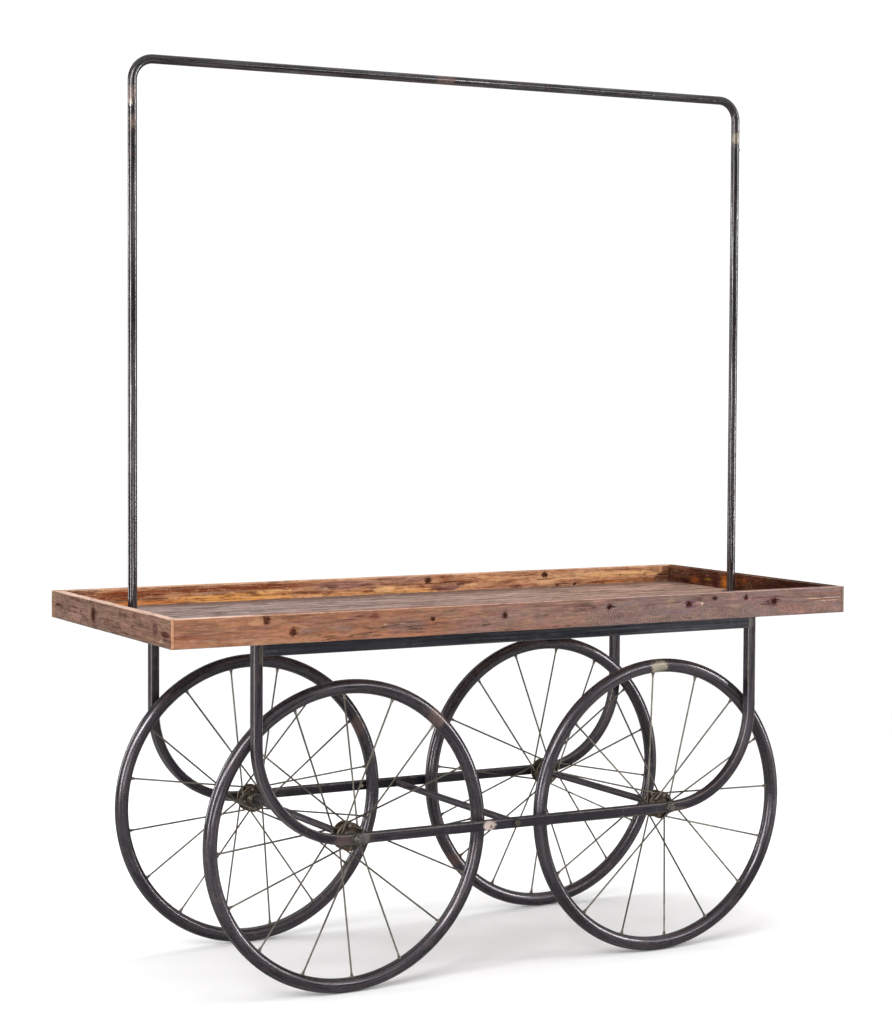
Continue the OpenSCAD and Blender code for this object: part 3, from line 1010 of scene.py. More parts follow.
RIM_STEEL = SteelFinish(
    "rim_steel",
    dark=srgb(62, 57, 63),
    tint=srgb(93, 87, 93),
    light=srgb(140, 135, 141),
    streaks=0.5,
    worn=0.35,
    gloss=0.24,
    coat=0.7,
    stains=(
        Stain((0.391, -0.248, 0.656), (0.030, 0.03, 0.020), srgb(170, 160, 140), 0.85),
        Stain((-0.190, -0.248, 0.578), (0.026, 0.03, 0.026), ROSY, 0.7),
        Stain((-0.124, 0.248, 0.489), (0.024, 0.03, 0.036), ROSY, 0.6),
        Stain((0.131, 0.248, 0.140), (0.032, 0.03, 0.028), RUST_BROWN, 0.6),
    ),
)
SPOKE_STEEL = SteelFinish(
    "spoke_steel",
    dark=srgb(84, 80, 73),
    tint=srgb(118, 114, 104),
    light=srgb(186, 181, 169),
    bare=srgb(190, 182, 166),
    streaks=0.9,
    worn=0.5,
    rusty=0.4,
    gloss=0.6,
    coat=0.0,
)
HUB_IRON = SteelFinish(
    "hub_iron",
    dark=srgb(54, 46, 42),
    tint=srgb(92, 78, 68),
    light=srgb(124, 108, 92),
    bare=srgb(166, 148, 124),
    rust=srgb(96, 62, 42),
    rusty=0.5,
    worn=0.5,
    gloss=0.45,
    drawn=False,
)
STEELS = (
    FRAME_STEEL,
    RAIL_STEEL,
    BOLT_STEEL,
    AXLE_STEEL,
    RACK_STEEL,
    RIM_STEEL,
    SPOKE_STEEL,
    HUB_IRON,
)


# ----------------------------------------------------------------- mesh making


@dataclass(frozen=True)
class Spot:
    """A point of a section: its two offsets and how exposed to wear it is."""

    a: float
    b: float
    wear: float = 0.0


@dataclass(frozen=True)
class Station:
    """A place on a route, with the two axes that a section is drawn on."""

    place: Vector
    out: Vector
    side: Vector
    along: float


Section = list[Spot]
Profile = list[Triple]


def round_section(radius: float, steps: int = 24, wear: float = 0.0) -> Section:
    """A circle.

    Args:
        radius: Its radius.
        steps: Its number of points.
        wear: How exposed to wear it is.

    Returns:
        The section.
    """
    turns = [math.tau * k / steps for k in range(steps)]
    return [Spot(radius * math.cos(t), radius * math.sin(t), wear) for t in turns]


def box_section(
    width: float,
    height: float,
    radii: Sequence[float],
    arc_steps: int = 3,
    shoulder: float = 1.2 * MM,
    splits: tuple[int, int] = (1, 1),
) -> Section:
    """A rectangle with rounded corners.

    Args:
        width: Its size along the first axis.
        height: Its size along the second axis.
        radii: The radius of each corner, counterclockwise from (+, +).
        arc_steps: The number of pieces of each corner.
        shoulder: How far past a corner the wear fades out.
        splits: How many pieces the sides are cut into between their
            shoulders, those along the second axis first.

    Returns:
        The section.
    """
    spots: Section = []
    for index in range(4):
        turn = math.pi / 2 * index
        radius = radii[index]
        x_sign = 1 if index in (0, 3) else -1
        y_sign = 1 if index in (0, 1) else -1
        centre = (x_sign * (width / 2 - radius), y_sign * (height / 2 - radius))
        arc = []
        for k in range(arc_steps + 1):
            t = turn + math.pi / 2 * k / arc_steps
            x = centre[0] + radius * math.cos(t)
            y = centre[1] + radius * math.sin(t)
            arc.append(Spot(x, y, 1.0))
        before, after = arc[0], arc[-1]
        lead = (math.sin(turn) * shoulder, -math.cos(turn) * shoulder)
        tail = (-math.cos(turn) * shoulder, -math.sin(turn) * shoulder)
        spots.append(Spot(before.a + lead[0], before.b + lead[1], 0.0))
        spots.extend(arc)
        spots.append(Spot(after.a + tail[0], after.b + tail[1], 0.0))
    return _split_sides(spots, arc_steps + 3, splits)


def _split_sides(spots: Section, per_corner: int, splits: tuple[int, int]) -> Section:
    """Cuts the straight sides of a rounded rectangle into pieces.

    Args:
        spots: The section, corner after corner.
        per_corner: The number of points of each corner.
        splits: The pieces of the sides, as in box_section.

    Returns:
        The section with its added points.
    """
    cut: Section = []
    for index in range(4):
        corner = spots[index * per_corner : (index + 1) * per_corner]
        cut.extend(corner)
        start, end = corner[-1], spots[(index + 1) * per_corner % len(spots)]
        pieces = splits[1] if index % 2 == 0 else splits[0]
        for k in range(1, pieces):
            share = k / pieces
            a = start.a + (end.a - start.a) * share
            b = start.b + (end.b - start.b) * share
            cut.append(Spot(a, b, 0.0))
    return cut


def bent_route(
    corners: Sequence[Vector], radius: float, normal: Vector, step: float
) -> list[Station]:
    """A flat route of straight runs with rounded corners.

    Args:
        corners: The ends and the corner points, in order.
        radius: The bend radius at each inner corner.
        normal: The direction square to the route's plane.
        step: The longest piece of a straight run.

    Returns:
        The stations of the route.
    """
    places: list[tuple[Vector, Vector]] = []
    start = corners[0].copy()
    for index in range(1, len(corners)):
        here = corners[index]
        tangent = (here - corners[index - 1]).normalized()
        last = index == len(corners) - 1
        if last:
            _add_run(places, start, here, tangent, step)
            break
        onward = (corners[index + 1] - here).normalized()
        angle = tangent.angle(onward)
        set_off = radius * math.tan(angle / 2)
        stop = here - tangent * set_off
        _add_run(places, start, stop, tangent, step)
        centre = stop + (onward - tangent * tangent.dot(onward)).normalized() * radius
        pieces = max(4, int(math.degrees(angle) / 4))
        axis = tangent.cross(onward).normalized()
        for k in range(1, pieces):
            turn = Matrix.Rotation(angle * k / pieces, 3, axis)
            places.append((centre + turn @ (stop - centre), turn @ tangent))
        start = here + onward * set_off
    stations = []
    along = 0.0
    for index, (place, tangent) in enumerate(places):
        if index:
            along += (place - places[index - 1][0]).length
        out = normal.cross(tangent).normalized()
        stations.append(Station(place, out, normal, along))
    return stations


def _add_run(
    places: list[tuple[Vector, Vector]],
    start: Vector,
    stop: Vector,
    tangent: Vector,
    step: float,
) -> None:
    """Adds the stations of a straight run.

    Args:
        places: The list that is added to.
        start: Where the run starts.
        stop: Where it stops.
        tangent: Its direction.
        step: The longest piece.
    """
    length = (stop - start).length
    pieces = max(1, math.ceil(length / step))
    for k in range(pieces + 1):
        places.append((start.lerp(stop, k / pieces), tangent))


class Blank:
    """A mesh in the making, with its grain place and wear at each point."""

    def __init__(self) -> None:
        """Starts with nothing."""
        self.points: list[Vector] = []
        self.grain: list[Triple] = []
        self.wear: list[float] = []
        self.faces: list[tuple[int, ...]] = []

    def sweep(
        self,
        stations: Sequence[Station],
        sections: Sequence[Section],
        closed: bool = False,
        shift: Triple = (0.0, 0.0, 0.0),
    ) -> None:
        """Draws a section along a route.

        Args:
            stations: The route.
            sections: The section of each station, each with as many points.
            closed: Whether the last station joins the first.
            shift: Added to the grain places.
        """
        first = len(self.points)
        count = len(sections[0])
        for station, section in zip(stations, sections):
            for spot in section:
                offset = station.out * spot.a + station.side * spot.b
                self.points.append(station.place + offset)
                place = (station.along + shift[0], spot.a + shift[1], spot.b + shift[2])
                self.grain.append(place)
                self.wear.append(spot.wear)
        rows = len(stations)
        for row in range(rows if closed else rows - 1):
            here = first + row * count
            there = first + (row + 1) % rows * count
            for k in range(count):
                after = (k + 1) % count
                self.faces.append((here + k, here + after, there + after, there + k))
        if not closed:
            last = first + (rows - 1) * count
            self.faces.append(tuple(first + k for k in reversed(range(count))))
            self.faces.append(tuple(last + k for k in range(count)))

    def turned(
        self,
        centre: Vector,
        axis: Vector,
        profile: Profile,
        steps: int = 32,
        closed: bool = False,
        start: float = 0.0,
    ) -> None:
        """Turns a profile about an axis.

        Args:
            centre: A point on the axis.
            axis: The direction of the axis.
            profile: The place along the axis, radius and wear of each ring.
            steps: The number of points of a ring. Six give a hexagon.
            closed: Whether the profile is a loop, as for a ring with a bore.
            start: The turn of the first point of each ring, in radians.
        """
        out = Matrix.Rotation(start, 3, axis) @ axis.orthogonal().normalized()
        side = axis.cross(out).normalized()
        stations = [Station(centre + axis * y, out, side, y) for y, _, _ in profile]
        rings = [round_section(radius, steps, wear) for _, radius, wear in profile]
        self.sweep(stations, rings, closed)

    def bead(self, path: Sequence[Vector], radius: float, seed: int) -> None:
        """Lays a rippled weld bead.

        Args:
            path: The corner points of its middle line.
            radius: Its radius.
            seed: Gives its ripples.
        """
        ripple = 1.6 * MM
        rng = random.Random(seed)
        places = []
        for start, end in zip(path, path[1:]):
            pieces = max(2, int((end - start).length / ripple))
            for k in range(pieces):
                places.append(start.lerp(end, k / pieces))
        places.append(path[-1])
        tangent = (places[-1] - places[0]).normalized()
        if tangent.length < 0.5:
            tangent = (places[1] - places[0]).normalized()
        out = tangent.orthogonal().normalized()
        side = tangent.cross(out).normalized()
        stations, sections = [], []
        for index, place in enumerate(places):
            end_taper = 0.45 if index in (0, len(places) - 1) else 1.0
            size = radius * end_taper * (0.78 + 0.4 * rng.random())
            stations.append(Station(place, out, side, index * ripple))
            sections.append(round_section(size, 8, 0.55))
        self.sweep(stations, sections)

    def piece(
        self,
        name: str,
        material: bpy.types.Material,
        body: str,
        slot: str,
        node: str,
    ) -> bpy.types.Object:
        """Turns the blank into a piece of the cart.

        Args:
            name: The piece's name.
            material: Its finish.
            body: The CAD body it rides on.
            slot: The record's material slot. It is not used.
            node: The CAD node it stands for.

        Returns:
            The new object.
        """
        mesh = bpy.data.meshes.new(name)
        mesh.from_pydata(self.points, [], self.faces)
        grain = mesh.attributes.new("grain", "FLOAT_VECTOR", "POINT")
        grain.data.foreach_set("vector", [c for spot in self.grain for c in spot])
        wear = mesh.attributes.new("wear", "FLOAT", "POINT")
        wear.data.foreach_set("value", self.wear)
        work = bmesh.new()
        work.from_mesh(mesh)
        bmesh.ops.recalc_face_normals(work, faces=work.faces)
        for edge in work.edges:
            edge.smooth = edge.calc_face_angle(0.0) < CRISP_ANGLE
        for face in work.faces:
            face.smooth = True
        work.to_mesh(mesh)
        work.free()
        mesh.materials.append(material)
        made = bpy.data.objects.new(name, mesh)
        bpy.context.scene.collection.objects.link(made)
        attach(made, body)
        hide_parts(node)
        return made


def middle_line(node: str) -> Vector:
    """The point of the cart's middle plane that a crosswise part runs through."""
    low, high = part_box(node)
    return Vector(((low.x + high.x) / 2, 0, (low.z + high.z) / 2))


def straight_route(node: str, axis: int, normal: Vector) -> list[Station]:
    """The route through the middle of a straight CAD part.

    Args:
        node: The part.
        axis: The axis it runs along, 0 to 2.
        normal: The direction of its side.

    Returns:
        The stations of the route.
    """
    low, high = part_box(node)
    ends = [(low + high) / 2, (low + high) / 2]
    ends[0][axis], ends[1][axis] = low[axis], high[axis]
    return bent_route(ends, 0.0, normal, 40 * MM)


def hexagon_radius(width: float) -> float:
    """The corner radius of a hexagon of this width across its flats."""
    return width / 2 / math.cos(math.radians(30))


# ---------------------------------------------------------------- sub-assemblies


@dataclass
class Assembly:
    """A sub-assembly of the cart, which keeps its finished pieces."""

    pieces: list[bpy.types.Object] = field(default_factory=list, kw_only=True)

    def build(self) -> None:
        """Builds the pieces. Each sub-assembly has its own way."""
        raise NotImplementedError

    def keep(
        self,
        blank: Blank,
        name: str,
        finish: bpy.types.Material,
        slot: str,
        node: str,
        body: str = "cart",
    ) -> None:
        """Turns a blank into a piece and keeps it.

        Args:
            blank: The piece's mesh.
            name: Its name.
            finish: Its finish.
            slot: The record's material slot.
            node: The CAD node it stands for.
            body: The CAD body it rides on.
        """
        self.pieces.append(blank.piece(name, finish, body, slot, node))


@dataclass
class BoardShape:
    """A sawn board between two corners, with uneven rounded arrises."""

    low: Vector
    high: Vector
    lengthwise: int
    across: int
    arris: float = 1.6 * MM
    seed: float = 0.0
    step: float = 11 * MM
    chamfer: float = 0.9 * MM
    unevenness: float = 0.35 * MM
    lap: float = 0.0
    lap_thickness: float = 0.0
    lap_side: int = 1
    end_wear: float = 0.1
    shift: Triple = (0.0, 0.0, 0.0)

    def _exposure(self, spot: Spot) -> float:
        """How much of the wear a point takes, those on top the most."""
        size = self.high - self.low
        height = spot.a if self.across == 2 else spot.b
        below = size.z / 2 - height
        if below < 0.9 * MM:
            return 1.0
        return 0.35 if below < size.z / 2 else 0.2

    def fill(self, blank: Blank) -> None:
        """Adds the board to a blank.

        Args:
            blank: The blank that gets the board.
        """
        through = 3 - self.lengthwise - self.across
        axes = (X_AXIS, Y_AXIS, Z_AXIS)
        size = self.high - self.low
        centre = (self.low + self.high) / 2
        start, end = self.low[self.lengthwise], self.high[self.lengthwise]
        pieces = max(2, round((end - start) / self.step))
        stops = [start, start + self.chamfer]
        stops += [start + (end - start) * k / pieces for k in range(1, pieces)]
        stops += [end - self.chamfer, end]
        if self.lap:
            step_at = start + self.lap
            stops += [step_at - 0.1 * MM, step_at + 0.1 * MM]
            stops = sorted(stops)
        width, depth = size[self.across], size[through]
        stations, sections = [], []
        for stop in stops:
            place = centre.copy()
            place[self.lengthwise] = stop
            stations.append(Station(place, axes[self.across], axes[through], stop))
            inset = self.chamfer if stop in (start, end) else 0.0
            lapped = self.lap and stop < start + self.lap
            here = self.lap_thickness if lapped else depth
            sections.append(self._section(stop, width, here, depth - here, inset))
        offset = (
            self.shift[0],
            centre[self.across] + self.shift[1],
            centre[through] + self.shift[2],
        )
        blank.sweep(stations, sections, shift=offset)

    def _section(
        self, along: float, width: float, depth: float, cut: float, inset: float
    ) -> Section:
        """The uneven section at one place along the board.

        Args:
            along: The place along the board.
            width: The board's width.
            depth: The board's thickness there.
            cut: How much of its thickness the lap takes away.
            inset: How far the section is drawn in, as at the board's ends.

        Returns:
            The section.
        """
        radii = []
        for corner in range(4):
            value = noise.noise(Vector((along * 14, corner * 7.3, self.seed)))
            nick = noise.noise(Vector((along * 60, corner * 3.1, self.seed + 5)))
            extra = max(0.0, nick - 0.28) * 5 * MM
            radii.append(self.arris * (1 + 0.55 * value) + extra)
        splits = (3, max(2, round(width / (16 * MM))))
        result = []
        for spot in box_section(width, depth, radii, 3, 1.5 * MM, splits):
            ripple = noise.noise(Vector((along * 5, spot.a * 30, self.seed + 9)))
            dip = max(0.0, inset - self.unevenness * (ripple - 0.5))
            a = self._drawn_in(spot.a, width / 2, dip)
            b = self._drawn_in(spot.b, depth / 2, dip) + cut / 2 * self.lap_side
            wear = self.end_wear if inset else spot.wear * self._exposure(spot)
            result.append(Spot(a, b, wear))
        return result

    @staticmethod
    def _drawn_in(offset: float, face: float, dip: float) -> float:
        """An offset, moved inwards by the dip if it is near a face."""
        near = abs(offset) > face - 3 * MM
        return offset - math.copysign(dip, offset) if near else offset


@dataclass
class Tray(Assembly):
    """The shallow wooden tray: four boards on edge and a row of planks."""

    lap: float = 22 * MM
    lap_thickness: float = 7 * MM
    planks: int = 6
    plank_shift: float = 0.31

    def finishes(self) -> dict[str, bpy.types.Material]:
        """Makes the wood of each board.

        Returns:
            The materials by board.
        """
        last_plank = f"deck_plank_{self.planks}"
        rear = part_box(last_plank)[1].y + self.planks * self.plank_shift
        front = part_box("deck_plank_1")[0].y + self.plank_shift
        deck = WoodFinish(
            "fir_deck",
            warm=srgb(172, 140, 122),
            brown=srgb(134, 106, 94),
            grey=srgb(138, 134, 138),
            dark=srgb(74, 58, 52),
            pale=srgb(190, 164, 150),
            grey_from=0.7,
            grey_to=-0.7,
            late=0.5,
            contrast=1.5,
            smudged=0.4,
            figure=9.0,
            arris=0.75,
            rubbed=srgb(60, 46, 40),
            uneven=0.35,
            shift=23.9,
            patches=(
                # Painted shade, with some dirt: a dark band along the back of the deck,
                # at the foot of the back board.
                Patch(0.0, rear - 0.025, 1.4, 0.06, srgb(86, 62, 52), 0.85, 0.9),
                Patch(-0.56, rear - 0.15, 0.26, 0.05, srgb(150, 152, 160), 0.6, 1.4),
                Patch(-0.2, rear - 0.11, 0.3, 0.024, srgb(112, 94, 90), 0.6, 1.2),
                Patch(0.26, rear - 0.16, 0.3, 0.045, srgb(186, 156, 142), 0.6, 1.4),
                # Painted shade: a darker band along the front edge of the deck, at the
                # foot of the front board.
                Patch(0.0, front, 1.2, 0.02, srgb(96, 76, 66), 0.6, 0.5),
                # Painted shade: darker in the back right corner of the deck, at the
                # foot of the right end board.
                Patch(0.83, rear, 0.06, 0.16, srgb(78, 54, 44), 0.7, 0.5),
            ),
        )
        firs = dict(front=FRONT_FIR, back=BACK_FIR, left=LEFT_FIR, right=RIGHT_FIR)
        firs["deck"] = deck
        return {name: fir.shade() for name, fir in firs.items()}

    def build(self) -> None:
        """Builds the boards and planks."""
        woods = self.finishes()
        for side in (Wheelside.FRONT, Wheelside.BACK):
            node = f"tray_side_{side.word}"
            shape = BoardShape(*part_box(node), 0, 2, seed=len(side.word))
            self._board(shape, f"{side.word}_board", woods[side.word], node)
        for hand in Hand:
            node = f"tray_end_{hand.word}"
            shape = BoardShape(*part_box(node), 1, 2, seed=3 + hand.value)
            shape.lap = self.lap
            shape.lap_thickness = self.lap_thickness
            shape.lap_side = hand.value
            self._board(shape, f"{hand.word}_end_board", woods[hand.word], node)
        for index in range(1, self.planks + 1):
            node = f"deck_plank_{index}"
            shape = BoardShape(*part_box(node), 0, 1, 1.3 * MM, 20 + index)
            shape.shift = (0.0, index * self.plank_shift, index * 0.17)
            name = f"deck_board_{index}"
            self._board(shape, name, woods["deck"], node, "deck_wood")

    def _board(
        self,
        shape: BoardShape,
        name: str,
        wood: bpy.types.Material,
        node: str,
        slot: str = "board_wood",
    ) -> None:
        """Builds one board.

        Args:
            shape: Its shape.
            name: Its name.
            wood: Its finish.
            node: The CAD node it stands for.
            slot: Its material slot.
        """
        blank = Blank()
        shape.fill(blank)
        self.keep(blank, name, wood, slot, node)


@dataclass
class Chassis(Assembly):
    """The steel side frames, their rails, the cross tubes and the tie bar."""

    steel: bpy.types.Material
    rail_steel: bpy.types.Material
    bright: bpy.types.Material
    bend_radius: float = 215 * MM
    corner: float = 2.2 * MM
    bead_radius: float = 2.4 * MM
    bead_sink: float = 0.8 * MM
    bolt_head: float = 5 * MM

    def build(self) -> None:
        """Builds every part of the chassis."""
        for side in Wheelside:
            self._upper_rail(side)
            for hand in Hand:
                self._bow(side, hand)
        for name in ("left", "middle", "right"):
            self._cross_tube(name)
        self._tie_bar()
        self._tie_bolts()

    def _tube(
        self, blank: Blank, route: list[Station], wide: float, tall: float
    ) -> None:
        """Adds a square or rectangular tube with rounded corners.

        Args:
            blank: The blank that gets it.
            route: Its route.
            wide: Its size in the route's plane.
            tall: Its size square to that plane.
        """
        section = box_section(wide, tall, [self.corner] * 4)
        blank.sweep(route, [section] * len(route))

    def _upper_rail(self, side: Wheelside) -> None:
        """Builds the rail between the two legs of one side frame.

        Args:
            side: The side of the cart.
        """
        node = f"upper_rail_{side.word}"
        low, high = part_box(node)
        route = straight_route(node, 0, Y_AXIS)
        blank = Blank()
        self._tube(blank, route, high.z - low.z, high.y - low.y)
        centre_y, reach = (low.y + high.y) / 2, 9.2 * MM
        face, back = centre_y + side.value * reach, centre_y - side.value * reach
        under = low.z + 0.6 * MM
        for hand in Hand:
            x = high.x if hand is Hand.RIGHT else low.x
            inner = x - hand.value * self.bead_sink
            for y in (face, back):
                path = [Vector((inner, y, high.z - 4 * MM)), Vector((inner, y, under))]
                blank.bead(path, self.bead_radius * 0.75, int(x * 1000) + 7)
            path = [Vector((inner, face, under)), Vector((inner, back, under))]
            blank.bead(path, self.bead_radius, int(x * 1000) + 11)
        name = f"top_rail_{side.word}"
        self.keep(blank, name, self.rail_steel, "frame_steel", node)

    def _bow(self, side: Wheelside, hand: Hand) -> None:
        """Builds a leg, its bend and its half of the lower rail.

        Args:
            side: The side of the cart.
            hand: The half of the cart.
        """
        tag = f"{side.word}_{hand.word}"
        node = f"side_bow_{tag}"
        low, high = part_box(node)
        tube = high.y - low.y
        y = (low.y + high.y) / 2
        leg_x = (high.x - tube / 2) if hand is Hand.RIGHT else (low.x + tube / 2)
        end_x = low.x if hand is Hand.RIGHT else high.x
        rail_z = low.z + tube / 2
        corners = [
            Vector((leg_x, y, high.z)),
            Vector((leg_x, y, rail_z)),
            Vector((end_x, y, rail_z)),
        ]
        route = bent_route(corners, self.bend_radius, Y_AXIS, 36 * MM)
        blank = Blank()
        self._tube(blank, route, tube, tube)
        self.keep(blank, f"bow_{tag}", self.steel, "frame_steel", node)

    def _cross_tube(self, name: str) -> None:
        """Builds a tube between the side frames, under the deck.

        Args:
            name: Its place, left, middle or right.
        """
        node = f"cross_tube_{name}"
        low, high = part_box(node)
        route = straight_route(node, 1, X_AXIS)
        blank = Blank()
        self._tube(blank, route, high.z - low.z, high.x - low.x)
        for y in (low.y + self.bead_sink, high.y - self.bead_sink):
            for x in (low.x + self.bead_sink, high.x - self.bead_sink):
                path = [Vector((x, y, high.z - 4 * MM)), Vector((x, y, low.z + 1 * MM))]
                blank.bead(path, self.bead_radius * 0.75, int(abs(x + y) * 1000))
        self.keep(blank, f"cross_rail_{name}", self.steel, "frame_steel", node)

    def _tie_bar(self) -> None:
        """Builds the round bar between the lower rails."""
        node = "lower_tie_bar"
        low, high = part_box(node)
        radius = (high.x - low.x) / 2
        edge = 0.8 * MM
        profile = [(low.y, radius - edge, 1.0), (low.y + edge, radius, 0.6)]
        span = high.y - low.y
        profile += [(low.y + span * k / 16, radius, 0.0) for k in range(1, 16)]
        profile += [(high.y - edge, radius, 0.6), (high.y, radius - edge, 1.0)]
        blank = Blank()
        blank.turned(middle_line(node), Y_AXIS, profile, 24)
        self.keep(blank, "lower_tie_rod", self.steel, "frame_steel", node)

    def _tie_bolts(self) -> None:
        """Builds the two bolts of the tie bar."""
        node = "tie_bar_bolts"
        low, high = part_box(node)
        radius = hexagon_radius(high.z - low.z) * 0.99
        head = self.bolt_head
        blank = Blank()
        for side in Wheelside:
            tip = high.y if side is Wheelside.BACK else -low.y
            hexagon = [
                (tip - head, radius * 0.96, 1.0),
                (tip - head + 0.4 * MM, radius, 0.8),
                (tip - 1.1 * MM, radius, 0.3),
                (tip - 0.4 * MM, radius * 0.93, 1.0),
                (tip - 0.4 * MM, radius * 0.8, 0.2),
                (tip, radius * 0.72, 0.9),
                (tip, radius * 0.2, 0.0),
            ]
            foot, axis = middle_line(node), Y_AXIS * side.value
            blank.turned(foot, axis, hexagon, 6, start=math.radians(15))
            neck = tip - head
            shank = [(neck - 40 * MM, 4 * MM, 0.0), (neck + 1 * MM, 4 * MM, 0.0)]
            blank.turned(foot, axis, shank, 16)
        self.keep(blank, "tie_bolts", self.bright, "bolt_steel", node)


@dataclass
class RunningGear(Assembly):
    """The two axles with their spacers, collars and nuts."""

    steel: bpy.types.Material
    bright: bpy.types.Material
    nut_thickness: float = 10 * MM
    nut_width: float = 19 * MM
    thread_radius: float = 6 * MM
    thread_pitch: float = 1.25 * MM

    def __post_init__(self) -> None:
        """Finds the faces of the side frames."""
        low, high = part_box("side_bow_back_right")
        self.frame_inner, self.frame_face = low.y, high.y

    def build(self) -> None:
        """Builds the axles and what is on them."""
        for hand in Hand:
            self._axle(hand)
        self._rings("axle_spacers", 26 * MM, 4.7 * MM, False)
        self._rings("axle_collars", 30 * MM, 9 * MM, True)
        self._nuts()

    @staticmethod
    def _middles() -> list[Vector]:
        """The middle of each axle."""
        return [middle_line(f"axle_{hand.word}") for hand in Hand]

    def _axle(self, hand: Hand) -> None:
        """Builds an axle with its threaded ends.

        Args:
            hand: The half of the cart.
        """
        node = f"axle_{hand.word}"
        low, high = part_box(node)
        body, end, reach = (high.z - low.z) / 2, self.thread_radius, high.y
        half: Profile = []
        for k in range(10):
            half.append((self.frame_inner * k / 10 + 8 * MM, body, 0.0))
        half.append((self.frame_inner - 0.8 * MM, body, 0.8))
        half.append((self.frame_inner, body - 0.8 * MM, 1.0))
        half.append((self.frame_inner, end, 0.0))
        thread = self.frame_face + self.nut_thickness - 2 * MM
        half.append((thread, end, 0.0))
        while thread < reach - 1.6 * MM:
            half.append((thread + 0.35 * MM, end - 0.7 * MM, 0.0))
            half.append((thread + 0.9 * MM, end - 0.02 * MM, 1.0))
            thread += self.thread_pitch
        half.append((reach - 0.7 * MM, end - 0.2 * MM, 0.8))
        half.append((reach, end - 1.0 * MM, 1.0))
        profile = [(-y, radius, wear) for y, radius, wear in reversed(half)] + half
        blank = Blank()
        blank.turned(middle_line(node), Y_AXIS, profile, 28)
        self.keep(blank, f"axle_bar_{hand.word}", self.steel, "axle_steel", node)

    def _rings(self, node: str, diameter: float, length: float, pinned: bool) -> None:
        """Builds the four like rings on the axles.

        Args:
            node: The CAD node they stand for.
            diameter: Their outer diameter.
            length: Their length along the axle.
            pinned: Whether each has a set screw.
        """
        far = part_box(node)[1].y
        near = far - length
        bore = 8.02 * MM
        radius = diameter / 2
        edge = 0.7 * MM
        ring = [
            (near, bore, 0.2),
            (near, radius - edge, 1.0),
            (near + edge, radius, 1.0),
            (far - edge, radius, 1.0),
            (far, radius - edge, 1.0),
            (far, bore, 0.2),
        ]
        screw = [
            (radius - 3 * MM, 2.4 * MM, 0.0),
            (radius + 0.9 * MM, 2.4 * MM, 0.9),
            (radius + 1.2 * MM, 2.0 * MM, 1.0),
            (radius + 1.2 * MM, 1.1 * MM, 0.2),
            (radius + 0.3 * MM, 1.0 * MM, 0.0),
        ]
        blank = Blank()
        for foot in self._middles():
            for side in Wheelside:
                axis = Y_AXIS * side.value
                blank.turned(foot, axis, ring, 32, True)
                if pinned:
                    spot = foot + axis * ((near + far) / 2)
                    blank.turned(spot, Vector((-0.6, 0, 0.8)), screw, 12)
        name = node.replace("axle_", "axle_ring_")
        self.keep(blank, name, self.bright, "axle_steel", node)

    def _nuts(self) -> None:
        """Builds the four flanged nuts."""
        blank = Blank()
        base = self.frame_face
        top = base + self.nut_thickness
        radius = hexagon_radius(self.nut_width)
        washer = [
            (base, self.thread_radius, 0.0),
            (base, 12.4 * MM, 0.6),
            (base + 0.5 * MM, 12.8 * MM, 1.0),
            (base + 1.4 * MM, 12.8 * MM, 1.0),
            (base + 1.8 * MM, 12.2 * MM, 0.8),
            (base + 1.8 * MM, self.thread_radius, 0.0),
        ]
        hexagon = [
            (base + 1.8 * MM, radius * 0.95, 0.8),
            (base + 2.6 * MM, radius, 0.8),
            (top - 1.4 * MM, radius, 0.7),
            (top - 0.5 * MM, radius * 0.93, 1.0),
            (top - 0.1 * MM, radius * 0.84, 1.0),
            (top, 7.2 * MM, 0.5),
            (top - 0.8 * MM, 5.9 * MM, 0.2),
        ]
        for index, foot in enumerate(self._middles()):
            for side in Wheelside:
                axis = Y_AXIS * side.value
                blank.turned(foot, axis, washer, 32, True)
                turn = math.radians(11 + 17 * index + 9 * side.value)
                blank.turned(foot, axis, hexagon, 6, start=turn)
        self.keep(blank, "flanged_nuts", self.bright, "bolt_steel", "axle_nuts")


